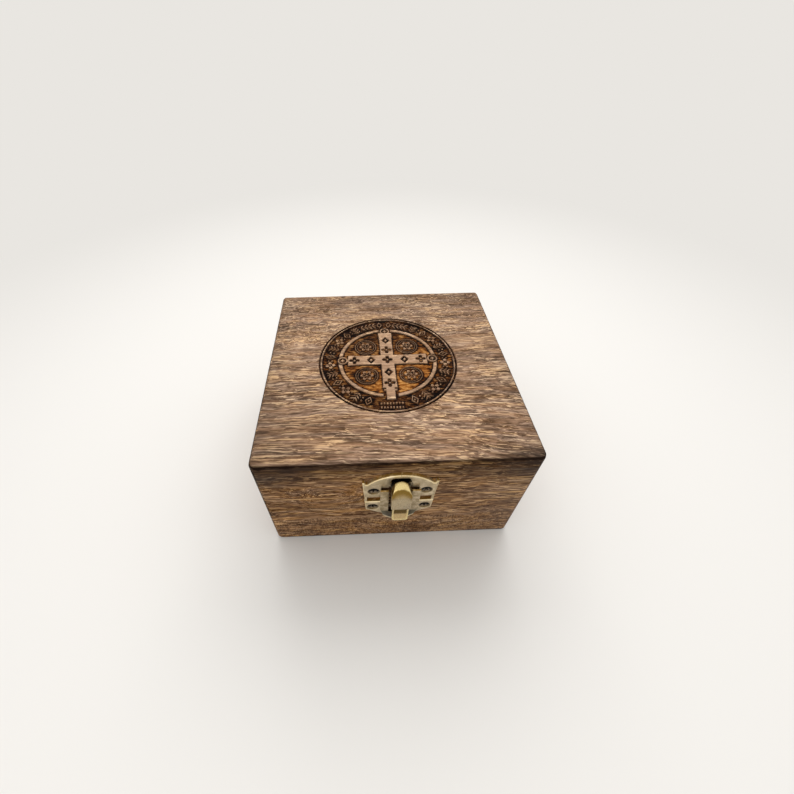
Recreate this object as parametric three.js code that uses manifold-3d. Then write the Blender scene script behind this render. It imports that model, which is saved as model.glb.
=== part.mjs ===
import * as THREE from "three";
import { mergeVertices } from "three/addons/utils/BufferGeometryUtils.js";
import Module from "manifold-3d";

const wasm = await Module();
wasm.setup();

// A square prayer box of carbonised wood. The lid swings on two butt hinges at the back and is
// held shut by a sprung lever latch at the front.
// Millimetres. The origin is the centre of the underside, +Z is up and the latch faces -Y.

// Box body
const boxWidth = 100;
const boxDepth = 100;
const baseHeight = 34.5;
const seamGap = 0.2;
const lidHeight = 22.3;
const wall = 8;
const topPanel = 6;
const floorPanel = 5;
const cornerRabbet = 4;
const frontCornerRadius = 2.6;
const backCornerRadius = 1.8;
const topRounding = 1.6;
const bottomEasing = 0.8;

// Latch plates, pressed from sheet that stands off the wood on its own turned rim
const latchOffset = 1.1;
const latchHalfWidth = 13.4;
const sheet = 0.6;
const plateFace = 1.5;
const plateBevel = 0.3;
const keeperRise = 1.9;
const keeperEarHeight = 1.1;
const keeperNotchHeight = 6.9;
const archRise = 5.6;
const archBand = 1.6;
const barHeight = 2.5;
const barSetback = 0.5;
const windowShoulder = 2.4;
const plateDrop = 1.4;
const wingHeight = 6.1;
const hornClearance = 0.3;
const plateLength = 14.6;

// Raised housing in the middle of the lower plate
const housingFace = 2.9;
const housingOverlap = 8.6;
const housingBend = 4.6;
const housingToeFace = 1.6;
const slotBottomDrop = 7.2;
const earHalfHeight = 1.7;

// Lever, its pin and its torsion spring
const leverFace = 6.3;
const leverWeb = 0.9;
const leverFlange = 0.7;
const pivotDrop = 3.5;
const pivotHeight = 1.6;
const pivotBoss = 1.15;
const hookClearance = 0.3;
const hookReach = 0.45;
const hookThickness = 2.5;
const noseLength = 4.1;
const windowClearance = 0.8;
const lipLength = 3.9;
const lipRim = 0.6;
const lipSetback = 0.3;
const lipHollow = 0.45;
const lipCorner = 1;
const lipFlare = 0.2;
const stepRise = 5.3;
const scoopDepth = 1.5;
const pinRadius = 0.7;
const runningGap = 0.15;
const springWire = 0.4;
const springTurns = 4;
const springPitch = 0.62;
const springFixedLeg = 2.8;
const springMovingLeg = 2.3;

// Widths of the latch's parts from its middle, as shares of its half width
const widthShares = {
  keeperBottom: 0.959,
  keeperEar: 0.06,
  keeperNotch: 0.504,
  keeperScrew: 0.702,
  arch: 0.866,
  window: 0.31,
  windowTop: 0.216,
  wingTop: 0.955,
  wingBottom: 0.925,
  wingScrew: 0.728,
  horn: 0.067,
  tip: 0.19,
  housing: 0.53,
  slot: 0.306,
  lever: 0.265,
  lip: 0.22,
  screwHead: 0.131,
};

// Butt hinges on the back
const hingeSetIn = 14;
const leafWidth = 18;
const leafHeight = 8.5;
const leafThickness = 0.7;
const leafCorner = 1.2;
const barrelRadius = 1.5;
const barrelGap = 0.1;
const hingePinRadius = 0.65;
const hingePinHead = 0.5;
const centreKnuckle = 7;
const knuckleGap = 0.2;

// Countersunk screws: head radius, shank radius, and how far they sit from the plate's face
const latchScrewShank = 0.9;
const latchScrewSink = 0.55;
const keeperScrewRise = 4.5;
const wingScrewDrop = 3.9;
const hingeScrewHead = 1.4;
const hingeScrewShank = 0.75;
const hingeScrewSink = 0.1;
const hingeScrewSpread = 5.4;
const hingeScrewRise = 5.2;
const screwDome = 0.3;
const screwClearance = 0.3;
const seatRimWidth = 0.25;
const screwReachShare = 0.75;
const screwPointShare = 0.25;
const domeShare = 0.75;

// Outlines, as shares of the sizes that they follow
// The wing's lower edge and the toe below it: out to the wing's half width, down to the tip
const wingShares = [
  [1, 0],
  [0.9, 0.06],
  [0.8, 0.14],
  [0.68, 0.25],
  [0.57, 0.34],
];
const toeShares = [
  [0.47, 0.46],
  [0.33, 0.76],
];
// The lever's nose: out to its half width, down to its shoulders
const noseShares = [
  [0.5, 0],
  [0.66, 0.03],
  [0.75, 0.14],
  [0.84, 0.38],
  [0.95, 0.68],
  [1, 0.9],
];
// The lever's crown from the side: out to its face, down to its shoulders
const crownShares = [
  [0.18, 0.16],
  [0.36, 0],
  [0.56, 0.03],
  [0.76, 0.15],
  [0.83, 0.3],
  [0.93, 0.66],
  [1, 1],
];
const hookSlopeShare = 0.26;
const waistShare = 0.98;
const lipEaseShare = 0.3;
const flangeShare = 0.85;

// Facet counts and the amount by which a cutter runs past what it cuts
const roundFacets = 24;
const screwFacets = 20;
const arcFacets = 8;
const cornerFacets = 4;
const wireFacets = 6;
const easingFacets = 3;
const easingShare = 0.95;
const overrun = 1;

// Heights that follow from the sizes above
const seam = baseHeight + seamGap / 2;
const lidBottom = baseHeight + seamGap;
const boxHeight = lidBottom + lidHeight;
const panelBottom = boxHeight - topPanel;
const keeperBottom = seam + keeperRise;
const barBottom = keeperBottom + keeperNotchHeight;
const barTop = barBottom + barHeight;
const hookBottom = barTop + hookClearance;
const leverTop = hookBottom + hookThickness;
const windowTop = leverTop + windowClearance;
const archTop = windowTop + archBand;
const earTop = archTop - archRise + keeperEarHeight;
const plateTop = seam - plateDrop;
const wingBottom = plateTop - wingHeight;
const plateBottom = plateTop - plateLength;
const housingTop = seam + housingOverlap;
const housingBendHeight = seam - housingBend;
const pivotZ = seam - pivotDrop;
const lipEnd = pivotZ - lipLength;
const stepTop = pivotZ + stepRise;

// Widths that follow from the latch's half width
const keeperBottomHalfWidth = latchHalfWidth * widthShares.keeperBottom;
const keeperEarWidth = latchHalfWidth * widthShares.keeperEar;
const keeperNotchHalfWidth = latchHalfWidth * widthShares.keeperNotch;
const keeperScrewSpread = latchHalfWidth * widthShares.keeperScrew;
const archHalfWidth = latchHalfWidth * widthShares.arch;
const windowHalfWidth = latchHalfWidth * widthShares.window;
const windowTopHalfWidth = latchHalfWidth * widthShares.windowTop;
const wingTopHalfWidth = latchHalfWidth * widthShares.wingTop;
const wingBottomHalfWidth = latchHalfWidth * widthShares.wingBottom;
const wingScrewSpread = latchHalfWidth * widthShares.wingScrew;
const hornWidth = latchHalfWidth * widthShares.horn;
const tipHalfWidth = latchHalfWidth * widthShares.tip;
const housingHalfWidth = latchHalfWidth * widthShares.housing;
const slotHalfWidth = latchHalfWidth * widthShares.slot;
const leverHalfWidth = latchHalfWidth * widthShares.lever;
const lipHalfWidth = latchHalfWidth * widthShares.lip;
const latchScrewHead = latchHalfWidth * widthShares.screwHead;

// Materials: the colour, roughness and metalness that each finish shows
function charredWood() {
  return new THREE.MeshStandardMaterial({ color: 0x6a4d34, roughness: 0.75, metalness: 0 });
}

function antiqueBrass() {
  return new THREE.MeshStandardMaterial({ color: 0x958163, roughness: 0.45, metalness: 0.9 });
}

function polishedBrass() {
  return new THREE.MeshStandardMaterial({ color: 0xb08d45, roughness: 0.25, metalness: 1 });
}

function bronzedSteel() {
  return new THREE.MeshStandardMaterial({ color: 0x4a3c2c, roughness: 0.4, metalness: 1 });
}

function springSteel() {
  return new THREE.MeshStandardMaterial({ color: 0x8c8a86, roughness: 0.35, metalness: 1 });
}

// A closed geometry as a solid, without the zero triangles that a revolve leaves at its poles
function solidOf(geometry) {
  const bare = geometry.clone();
  bare.deleteAttribute("normal");
  bare.deleteAttribute("uv");
  const merged = mergeVertices(bare);
  const corners = [];
  for (let i = 0; i < merged.index.count; i += 3) {
    const [a, b, c] = [0, 1, 2].map((k) => merged.index.getX(i + k));
    if (a !== b && b !== c && c !== a) corners.push(a, b, c);
  }
  return new wasm.Manifold(
    new wasm.Mesh({
      numProp: 3,
      vertProperties: Float32Array.from(merged.attributes.position.array),
      triVerts: Uint32Array.from(corners),
    }),
  );
}

// A named mesh made of a solid
function piece(name, solid, material) {
  const { numProp, numVert, vertProperties, triVerts } = solid.getMesh();
  const places = new Float32Array(numVert * 3);
  for (let i = 0; i < numVert; i++) {
    places.set(vertProperties.subarray(i * numProp, i * numProp + 3), i * 3);
  }
  const geometry = new THREE.BufferGeometry();
  geometry.setAttribute("position", new THREE.BufferAttribute(places, 3));
  geometry.setIndex(new THREE.BufferAttribute(Uint32Array.from(triVerts), 1));
  const shaded = geometry.toNonIndexed();
  shaded.computeVertexNormals();
  const mesh = new THREE.Mesh(shaded, material);
  mesh.name = name;
  return mesh;
}

// A block between two corners
function block(low, high) {
  const size = high.map((value, i) => value - low[i]);
  const middle = high.map((value, i) => (value + low[i]) / 2);
  return solidOf(new THREE.BoxGeometry(...size).translate(...middle));
}

// An outline pushed out to a thickness, with an optional rounded edge at both ends
function slab(points, depth, edge = 0, steps = 1) {
  const shape = new THREE.Shape(points.map(([x, y]) => new THREE.Vector2(x, y)));
  const geometry = new THREE.ExtrudeGeometry(shape, {
    depth: depth - 2 * edge,
    bevelEnabled: edge > 0,
    bevelThickness: edge,
    bevelSize: edge,
    bevelOffset: -edge,
    bevelSegments: steps,
  });
  return geometry.translate(0, 0, edge);
}

// Seen from the front: points are [x, height], pushed out from the wood from low to high
function frontSlab(points, low, high) {
  const turn = new THREE.Matrix4().makeBasis(
    new THREE.Vector3(1, 0, 0),
    new THREE.Vector3(0, 0, 1),
    new THREE.Vector3(0, -1, 0),
  );
  const raised = slab(points, high - low).translate(0, 0, low);
  return solidOf(raised.applyMatrix4(turn));
}

// Seen from the side: points are [distance from the wood, height], as wide as twice halfWidth
function sideSlab(points, halfWidth) {
  const turn = new THREE.Matrix4().makeBasis(
    new THREE.Vector3(0, -1, 0),
    new THREE.Vector3(0, 0, 1),
    new THREE.Vector3(-1, 0, 0),
  );
  const centred = slab(points, 2 * halfWidth).translate(0, 0, -halfWidth);
  return solidOf(centred.applyMatrix4(turn));
}

// An outline drawn in by a distance, each corner along the mean of its two edges
function inset(points, distance) {
  const count = points.length;
  const normals = points.map(([x, y], i) => {
    const [nextX, nextY] = points[(i + 1) % count];
    const length = Math.hypot(nextX - x, nextY - y);
    return [(y - nextY) / length, (nextX - x) / length];
  });
  return points.map(([x, y], i) => {
    const [ax, ay] = normals[(i + count - 1) % count];
    const [bx, by] = normals[i];
    const reach = distance / (1 + ax * bx + ay * by);
    return [x + (ax + bx) * reach, y + (ay + by) * reach];
  });
}

// The right half of an outline, from the top down, joined to its mirror image
function mirrored(rightHalf) {
  const leftHalf = rightHalf.filter(([x]) => x > 0).map(([x, y]) => [-x, y]);
  return [...leftHalf, ...rightHalf.slice().reverse()];
}

// Points of an arc about a centre, between two angles in degrees
function arc([x, y], radius, from, to, steps = arcFacets) {
  return Array.from({ length: steps + 1 }, (_, i) => {
    const angle = THREE.MathUtils.degToRad(from + ((to - from) * i) / steps);
    return [x + radius * Math.cos(angle), y + radius * Math.sin(angle)];
  });
}

// A solid of revolution about an axis that points along the row's Y
function turned(profile, facets) {
  const points = profile.map(([radius, height]) => new THREE.Vector2(radius, height));
  return solidOf(new THREE.LatheGeometry(points, facets));
}

// A round bar that lies along X
function roundBar(radius, length) {
  const rod = new THREE.CylinderGeometry(radius, radius, length, roundFacets);
  return solidOf(rod.rotateZ(Math.PI / 2));
}

// The box's plan, with its front and back corners rounded
function boxPlan() {
  const [x, y] = [boxWidth / 2, boxDepth / 2];
  const corner = (signX, signY, radius, start) =>
    arc([signX * (x - radius), signY * (y - radius)], radius, start, start + 90);
  return [
    ...corner(1, 1, backCornerRadius, 0),
    ...corner(-1, 1, backCornerRadius, 90),
    ...corner(-1, -1, frontCornerRadius, 180),
    ...corner(1, -1, frontCornerRadius, 270),
  ];
}

// What the outer faces are trimmed to. An edge is rounded no more than the corners allow.
function envelope(rounding, steps) {
  const largest = easingShare * Math.min(frontCornerRadius, backCornerRadius);
  return solidOf(slab(boxPlan(), boxHeight, Math.min(rounding, largest), steps));
}

// Four walls of a frame: front and back run the full width and lap the ends of the sides
function frameWalls(low, high) {
  const [x, y] = [boxWidth / 2, boxDepth / 2];
  const lap = y - cornerRabbet;
  const innerX = x - wall;
  const innerY = y - wall;
  const endLap = (signX, signY) =>
    block(
      [signX > 0 ? innerX : -x - overrun, signY > 0 ? innerY - overrun : -lap, low - overrun],
      [signX > 0 ? x + overrun : -innerX, signY > 0 ? lap : -innerY + overrun, high + overrun],
    );
  const lapped = (signY) => {
    const board = block([-x, signY > 0 ? innerY : -y, low], [x, signY > 0 ? y : -innerY, high]);
    return board.subtract(endLap(-1, signY)).subtract(endLap(1, signY));
  };
  return {
    front: lapped(-1),
    back: lapped(1),
    left: block([-x, -lap, low], [-innerX, lap, high]),
    right: block([innerX, -lap, low], [x, lap, high]),
  };
}

// The floor's block, let into a rabbet round the foot of the walls
function floorBlock(reach) {
  const x = boxWidth / 2 - cornerRabbet;
  const y = boxDepth / 2 - cornerRabbet;
  return block([-x, -y, -reach], [x, y, floorPanel]);
}

// Places of the latch's screws, as [x, height] from the latch's middle
function keeperScrewPlaces() {
  const height = keeperBottom + keeperScrewRise;
  return [-1, 1].map((side) => [side * keeperScrewSpread, height]);
}

function wingScrewPlaces() {
  const height = plateTop - wingScrewDrop;
  return [-1, 1].map((side) => [side * wingScrewSpread, height]);
}

// Places of a hinge's screws, as [x, height] from the hinge's axis
function leafScrewPlaces(sideZ) {
  return [-1, 1].map((side) => [side * hingeScrewSpread, sideZ * hingeScrewRise]);
}

// A countersunk wood screw that points into the wall, its head's rim at a height off the wood
function screwSolid(head, shank, rim) {
  const length = wall * screwReachShare;
  const profile = [
    [0, -length],
    [shank, length * (screwPointShare - 1)],
    [shank, rim - (head - shank)],
    [head, rim],
    [head / 2, rim + screwDome * domeShare],
    [0, rim + screwDome],
  ];
  return turned(profile, screwFacets);
}

// The hole that a screw's shank leaves in the wood, open at the face
function pilotHole(shank) {
  const length = wall * screwReachShare + screwClearance;
  const radius = shank + screwClearance;
  return turned([[0, -length], [radius, -length], [radius, overrun], [0, overrun]], screwFacets);
}

// Cuts pilot holes for screws that enter a wall from the front (-1) or from the back (1)
function drilled(board, places, shank, side, offset) {
  return places.reduce((rest, [x, z]) => {
    const hole = pilotHole(shank).rotate([side < 0 ? 180 : 0, 0, 0]);
    return rest.subtract(hole.translate([x + offset, (side * boxDepth) / 2, z]));
  }, board);
}

function hingeOffsets() {
  const offset = boxWidth / 2 - hingeSetIn - leafWidth / 2;
  return [-offset, offset];
}

function drilledForHinges(board, sideZ) {
  const places = leafScrewPlaces(sideZ).map(([x, z]) => [x, z + seam]);
  return hingeOffsets().reduce(
    (rest, offset) => drilled(rest, places, hingeScrewShank, 1, offset),
    board,
  );
}

// The base: four walls and a floor
function makeBaseWood() {
  const group = new THREE.Group();
  const outside = envelope(bottomEasing, easingFacets);
  const walls = frameWalls(0, baseHeight);
  const rebate = floorBlock(overrun);
  const front = drilled(walls.front, wingScrewPlaces(), latchScrewShank, -1, latchOffset);
  const back = drilledForHinges(walls.back, -1);
  const boards = { front, back, left: walls.left, right: walls.right };
  for (const [side, board] of Object.entries(boards)) {
    group.add(piece(`base_${side}`, board.subtract(rebate).intersect(outside), charredWood()));
  }
  group.add(piece("base_floor", floorBlock(0), charredWood()));
  return group;
}

// The lid: four lower walls under a full top panel
function makeLidWood() {
  const group = new THREE.Group();
  const outside = envelope(topRounding, easingFacets);
  const walls = frameWalls(lidBottom, panelBottom);
  const front = drilled(walls.front, keeperScrewPlaces(), latchScrewShank, -1, latchOffset);
  const back = drilledForHinges(walls.back, 1);
  const boards = { front, back, left: walls.left, right: walls.right };
  for (const [side, board] of Object.entries(boards)) {
    group.add(piece(`lid_${side}`, board.intersect(outside), charredWood()));
  }
  const [x, y] = [boxWidth / 2, boxDepth / 2];
  const panel = block([-x, -y, panelBottom], [x, y, boxHeight]).intersect(outside);
  group.add(piece("lid_panel", panel, charredWood()));
  return group;
}

// An outline raised off the wood to a face, with the face's edge chamfered
function raisedForm(outline, face) {
  const rings = [
    [outline, 0],
    [outline, face - plateBevel],
    [inset(outline, plateBevel), face],
  ];
  const count = outline.length;
  const places = rings.flatMap(([points, out]) => points.flatMap(([x, z]) => [x, -out, z]));
  const corners = [];
  const cap = (points, base, flip) => {
    const contour = points.map(([x, z]) => new THREE.Vector2(x, z));
    for (const [a, b, c] of THREE.ShapeUtils.triangulateShape(contour, [])) {
      corners.push(base + a, base + (flip ? c : b), base + (flip ? b : c));
    }
  };
  for (let ring = 0; ring + 1 < rings.length; ring++) {
    for (let i = 0; i < count; i++) {
      const [a, b] = [ring * count + i, ring * count + ((i + 1) % count)];
      corners.push(a, b, b + count, a, b + count, a + count);
    }
  }
  cap(outline, 0, true);
  cap(rings[2][0], 2 * count, false);
  const geometry = new THREE.BufferGeometry();
  geometry.setAttribute("position", new THREE.Float32BufferAttribute(places, 3));
  geometry.setIndex(corners);
  return solidOf(geometry);
}

// A sheet with a turned rim: a raised form, hollow behind its middle
function pressedPlate(outline, middle, face) {
  const hollow = frontSlab(inset(middle, sheet), -overrun, face - sheet);
  return raisedForm(outline, face).subtract(hollow);
}

// A dished screw seat: its radii at its foot, under the head's rim and at the plate's face
function seatSizes() {
  const foot = latchScrewShank + screwClearance;
  const rim = plateFace - latchScrewSink;
  const bed = latchScrewHead + runningGap;
  const floor = Math.max(0, rim - (bed - foot));
  return { foot, bed, mouth: bed + seatRimWidth, floor, rim };
}

function seatHole() {
  const { foot, bed, mouth, floor, rim } = seatSizes();
  const profile = [
    [0, -overrun],
    [foot, -overrun],
    [foot, floor],
    [bed, rim],
    [mouth, plateFace],
    [mouth, plateFace + overrun],
    [0, plateFace + overrun],
  ];
  return turned(profile, screwFacets).rotate([180, 0, 0]);
}

function seatWall() {
  const { foot, mouth, floor } = seatSizes();
  const profile = [
    [0, 0],
    [foot + sheet, 0],
    [foot + sheet, floor],
    [mouth + sheet, plateFace - plateBevel],
    [0, plateFace - plateBevel],
  ];
  return turned(profile, screwFacets).rotate([180, 0, 0]);
}

// A plate with its seats added, kept inside the plate's own outline
function withSeats(plate, places, within) {
  return places.reduce((rest, [x, z]) => {
    const seat = seatWall().translate([x, 0, z]).intersect(within);
    return rest.add(seat).subtract(seatHole().translate([x, 0, z]));
  }, plate);
}

// The keeper's outline: sides that lean out to two small ears, and an arch between them
function keeperOutline(eared) {
  const springing = archTop - archRise;
  const radius = (archHalfWidth ** 2 + archRise ** 2) / (2 * archRise);
  const lean = THREE.MathUtils.radToDeg(Math.asin(archHalfWidth / radius));
  const halfArch = arc([0, archTop - radius], radius, 90, 90 - lean);
  const ear = [
    [latchHalfWidth - keeperEarWidth - plateBevel, springing],
    [latchHalfWidth - keeperEarWidth, earTop],
    [latchHalfWidth, earTop],
  ];
  return mirrored([
    [0, archTop],
    ...halfArch.slice(1),
    ...(eared ? ear : [[latchHalfWidth, springing]]),
    [keeperBottomHalfWidth, keeperBottom],
  ]);
}

// The wide notch that clears the housing, and the window above the bar that takes the hook
function keeperNotch() {
  const low = keeperBottom - overrun;
  return mirrored([
    [keeperNotchHalfWidth, barBottom],
    [keeperNotchHalfWidth, low],
  ]);
}

function keeperWindow() {
  return mirrored([
    [windowTopHalfWidth, windowTop],
    [windowHalfWidth - plateBevel, windowTop - windowShoulder],
    [windowHalfWidth, barTop],
    [windowHalfWidth, barBottom - overrun],
  ]);
}

// The rim and sheet of an opening: its outline grown by the sheet, down to the wood
function turnedRim(opening, face) {
  return frontSlab(inset(opening, -sheet), 0, face - plateBevel);
}

// The keeper on the lid. Its bar is set back below the face, and the lever hooks over it.
function makeKeeper() {
  const outline = keeperOutline(true);
  const body = pressedPlate(outline, keeperOutline(false), plateFace);
  const within = frontSlab(outline, 0, plateFace);
  const rims = turnedRim(keeperNotch(), plateFace).add(turnedRim(keeperWindow(), plateFace));
  const cut = (points) => frontSlab(points, -overrun, plateFace + overrun);
  const open = body
    .add(rims.intersect(within))
    .subtract(cut(keeperNotch()))
    .subtract(cut(keeperWindow()));
  const barFace = plateFace - barSetback;
  const bar = block(
    [-windowHalfWidth - sheet, -barFace, barBottom],
    [windowHalfWidth + sheet, -barFace + sheet, barTop],
  );
  return withSeats(open, keeperScrewPlaces(), within).add(bar);
}

// The lower plate's outline: two wings with horns at their ends, drawn in to a narrow tip
function wingCurve(shares) {
  const fall = wingBottom - plateBottom;
  return shares.map(([across, down]) => [
    across * wingBottomHalfWidth,
    wingBottom - down * fall,
  ]);
}

function wingOutline() {
  return mirrored([
    [wingTopHalfWidth, plateTop],
    ...wingCurve(wingShares),
    ...wingCurve(toeShares),
    [tipHalfWidth, plateBottom],
  ]);
}

function horn(side) {
  const [inner, outer] = [wingTopHalfWidth - hornWidth, wingTopHalfWidth].map((x) => side * x);
  const face = plateFace - plateBevel;
  const top = keeperBottom - hornClearance;
  const low = plateTop - sheet;
  return block(
    [Math.min(inner, outer), -face, low],
    [Math.max(inner, outer), -face + sheet, top],
  );
}

// The housing from the front and from the side
function housingOutline(shrink) {
  const outline = mirrored([
    [housingHalfWidth, housingTop],
    [housingHalfWidth, housingBendHeight],
    ...wingCurve(toeShares),
    [tipHalfWidth, plateBottom + sheet],
  ]);
  return shrink ? inset(outline, shrink) : outline;
}

function housingSide(shrink) {
  const face = housingFace - shrink;
  const toe = housingToeFace - shrink;
  return [
    [-overrun, plateBottom - overrun],
    [toe, plateBottom - overrun],
    [toe, plateBottom + sheet],
    [face, housingBendHeight],
    [face, housingTop + overrun],
    [-overrun, housingTop + overrun],
  ];
}

function housingShell() {
  const form = (shrink, low) =>
    sideSlab(housingSide(shrink), housingHalfWidth + overrun).intersect(
      frontSlab(housingOutline(shrink), low, housingFace + overrun),
    );
  const overhang = block(
    [-housingHalfWidth - overrun, -(housingFace - sheet), plateTop],
    [housingHalfWidth + overrun, overrun, housingTop + overrun],
  );
  return form(0, 0).subtract(form(sheet, -overrun)).subtract(overhang);
}

function pinEar(side) {
  const inner = side * slotHalfWidth;
  const outer = side * (slotHalfWidth + sheet);
  return block(
    [Math.min(inner, outer), -housingFace + sheet / 2, pivotZ - earHalfHeight],
    [Math.max(inner, outer), -runningGap, pivotZ + earHalfHeight],
  );
}

// A round bar along X through the lever's pivot
function pivotRod(radius, length) {
  return roundBar(radius, length).translate([0, -pivotHeight, pivotZ]);
}

// The lower plate: wings, horns, housing and the two ears that hold the lever's pin
function makeLatchPlate() {
  const wings = pressedPlate(wingOutline(), wingOutline(), plateFace);
  const hollow = frontSlab(housingOutline(sheet), -overrun, plateFace + overrun);
  const slot = block(
    [-slotHalfWidth, -housingFace - overrun, seam - slotBottomDrop],
    [slotHalfWidth, overrun, housingTop + overrun],
  );
  const shell = wings.subtract(hollow).add(housingShell()).subtract(slot);
  const eared = shell.add(pinEar(-1)).add(pinEar(1)).add(horn(-1)).add(horn(1));
  const bored = eared.subtract(pivotRod(pinRadius + runningGap, 2 * housingHalfWidth));
  return withSeats(bored, wingScrewPlaces(), frontSlab(wingOutline(), 0, plateFace));
}

// The lever's front outline: a nose that widens to its shoulders, a waist and a thumb lip
function leverOutline() {
  const nose = noseShares.map(([across, down]) => [
    across * leverHalfWidth,
    leverTop - down * noseLength,
  ]);
  return mirrored([
    ...nose,
    [leverHalfWidth * waistShare, stepTop + sheet],
    [lipHalfWidth, stepTop - sheet],
    [lipHalfWidth, lipEnd + lipCorner],
    [lipHalfWidth - lipCorner * lipEaseShare, lipEnd + lipCorner * lipEaseShare],
    [lipHalfWidth - lipCorner, lipEnd],
  ]);
}

// The lever from the side: hook, crowned nose, flat face, lip and the boss round its pin
function leverSide() {
  const crown = crownShares.map(([out, down]) => [
    out * leverFace,
    leverTop - down * noseLength,
  ]);
  const backFace = pivotHeight + pivotBoss * flangeShare;
  const gripFace = plateFace - barSetback + hookClearance;
  return [
    [hookReach, leverTop - noseLength * hookSlopeShare],
    ...crown,
    [leverFace, stepTop],
    [leverFace - lipSetback, stepTop - leverWeb],
    [leverFace - lipHollow, pivotZ],
    [leverFace - lipFlare, lipEnd],
    [leverFace - leverWeb, lipEnd - lipSetback],
    [leverFace - 2 * leverWeb, pivotZ - lipLength / 2],
    ...arc([pivotHeight, pivotZ], pivotBoss, -60, -240),
    [backFace, pivotZ + 2 * pivotBoss],
    [backFace, barBottom - pivotBoss],
    [gripFace, barBottom],
    [gripFace, hookBottom],
    [hookReach, hookBottom],
  ];
}

// The space behind the web, between the flanges, open towards the wood
function leverHollow() {
  const face = leverFace - leverWeb;
  const floor = leverFace - scoopDepth - leverWeb;
  return [
    [-overrun, barBottom - sheet],
    [face - sheet, barBottom - sheet],
    [face, barBottom - 2 * leverWeb],
    [face, stepTop + leverWeb],
    [floor, stepTop - lipHollow],
    [floor, pivotZ],
    [face - lipHollow, lipEnd],
    [face - lipHollow, lipEnd - overrun],
    [-overrun, lipEnd - overrun],
  ];
}

// The scoop that dishes the lip between its rims
function leverScoop() {
  const floor = leverFace - scoopDepth;
  return [
    [leverFace + overrun, stepTop],
    [leverFace - lipHollow, stepTop],
    [floor, stepTop - lipHollow],
    [floor, pivotZ + lipSetback],
    [leverFace - lipFlare, lipEnd + leverWeb],
    [leverFace + overrun, lipEnd + leverWeb],
  ];
}

function makeLever() {
  const form = sideSlab(leverSide(), leverHalfWidth).intersect(
    frontSlab(leverOutline(), -overrun, leverFace + overrun),
  );
  const hollow = sideSlab(leverHollow(), lipHalfWidth - leverFlange);
  const scoop = sideSlab(leverScoop(), lipHalfWidth - lipRim);
  const bore = pivotRod(pinRadius + runningGap, 2 * (leverHalfWidth + overrun));
  return form.subtract(hollow).subtract(scoop).subtract(bore);
}

function makeLatchPin() {
  return pivotRod(pinRadius, 2 * (slotHalfWidth + sheet));
}

// One wire: a leg flat to the wood, the coil round the pin, and a leg behind the lip
function makeLatchSpring() {
  const coilRadius = pinRadius + runningGap + springWire;
  const length = springTurns * springPitch;
  const steps = springTurns * arcFacets + arcFacets / 2;
  const points = [];
  const place = (x, out, z) => points.push(new THREE.Vector3(x, -out, z));
  place(-length / 2, pivotHeight - coilRadius, pivotZ + springFixedLeg);
  place(-length / 2, pivotHeight - coilRadius, pivotZ + springFixedLeg / 2);
  for (let i = 0; i <= steps; i++) {
    const angle = (i / arcFacets) * 2 * Math.PI;
    place(
      -length / 2 + (length * i) / steps,
      pivotHeight - coilRadius * Math.cos(angle),
      pivotZ - coilRadius * Math.sin(angle),
    );
  }
  place(length / 2, pivotHeight + coilRadius, pivotZ + springMovingLeg / 2);
  place(length / 2, pivotHeight + coilRadius, pivotZ + springMovingLeg);
  const section = arc([0, 0], springWire / 2, 0, 360 - 360 / wireFacets, wireFacets - 1);
  const wire = new THREE.Shape(section.map(([x, y]) => new THREE.Vector2(x, y)));
  const path = new THREE.CatmullRomCurve3(points);
  return solidOf(new THREE.ExtrudeGeometry(wire, { steps: 2 * points.length, extrudePath: path }));
}

// One leaf of a butt hinge, drawn about the hinge's axis. side is 1 for the lid, -1 for the base.
function makeLeaf(side) {
  const back = -(barrelRadius + barrelGap);
  const face = back + leafThickness;
  const start = barrelRadius + runningGap;
  const halfWidth = leafWidth / 2;
  const inner = centreKnuckle / 2 + knuckleGap;
  const cornerHeight = leafHeight - leafCorner;
  const plan = [
    [-halfWidth, start],
    [halfWidth, start],
    ...arc([halfWidth - leafCorner, cornerHeight], leafCorner, 0, 90, cornerFacets),
    ...arc([leafCorner - halfWidth, cornerHeight], leafCorner, 90, 180, cornerFacets),
  ];
  const sheetSolid = frontSlab(plan, -face, -back);
  const outer = halfWidth - knuckleGap;
  const centre = [[-centreKnuckle / 2, centreKnuckle / 2]];
  const ends = [[-outer, -inner], [inner, outer]];
  const spans = side > 0 ? centre : ends;
  const bored = roundBar(hingePinRadius + runningGap, leafWidth);
  let leaf = sheetSolid;
  for (const [low, high] of spans) {
    const neck = block([low, back, 0], [high, face, start + leafThickness]);
    const ring = roundBar(barrelRadius, high - low).translate([(low + high) / 2, 0, 0]);
    leaf = leaf.add(neck).add(ring);
  }
  leaf = leaf.subtract(bored);
  for (const [x, z] of leafScrewPlaces(1)) {
    leaf = leaf.subtract(hingeScrewSeat().translate([x, back, z]));
  }
  return side > 0 ? leaf : leaf.rotate([0, 180, 0]);
}

// The countersunk hole of a hinge leaf, measured out from the wood
function hingeScrewSeat() {
  const mouth = hingeScrewHead + screwClearance;
  const foot = hingeScrewShank + screwClearance;
  const profile = [
    [0, -overrun],
    [foot, -overrun],
    [foot, 0],
    [mouth, leafThickness],
    [mouth, leafThickness + overrun],
    [0, leafThickness + overrun],
  ];
  return turned(profile, screwFacets);
}

// A screw as a mesh, placed on the front (-1) or back (1) face of the box
function screwMesh(name, solid, side, x, z) {
  const facing = side < 0 ? solid.rotate([180, 0, 0]) : solid;
  const mesh = piece(name, facing, bronzedSteel());
  mesh.position.set(x, 0, z);
  return mesh;
}

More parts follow.
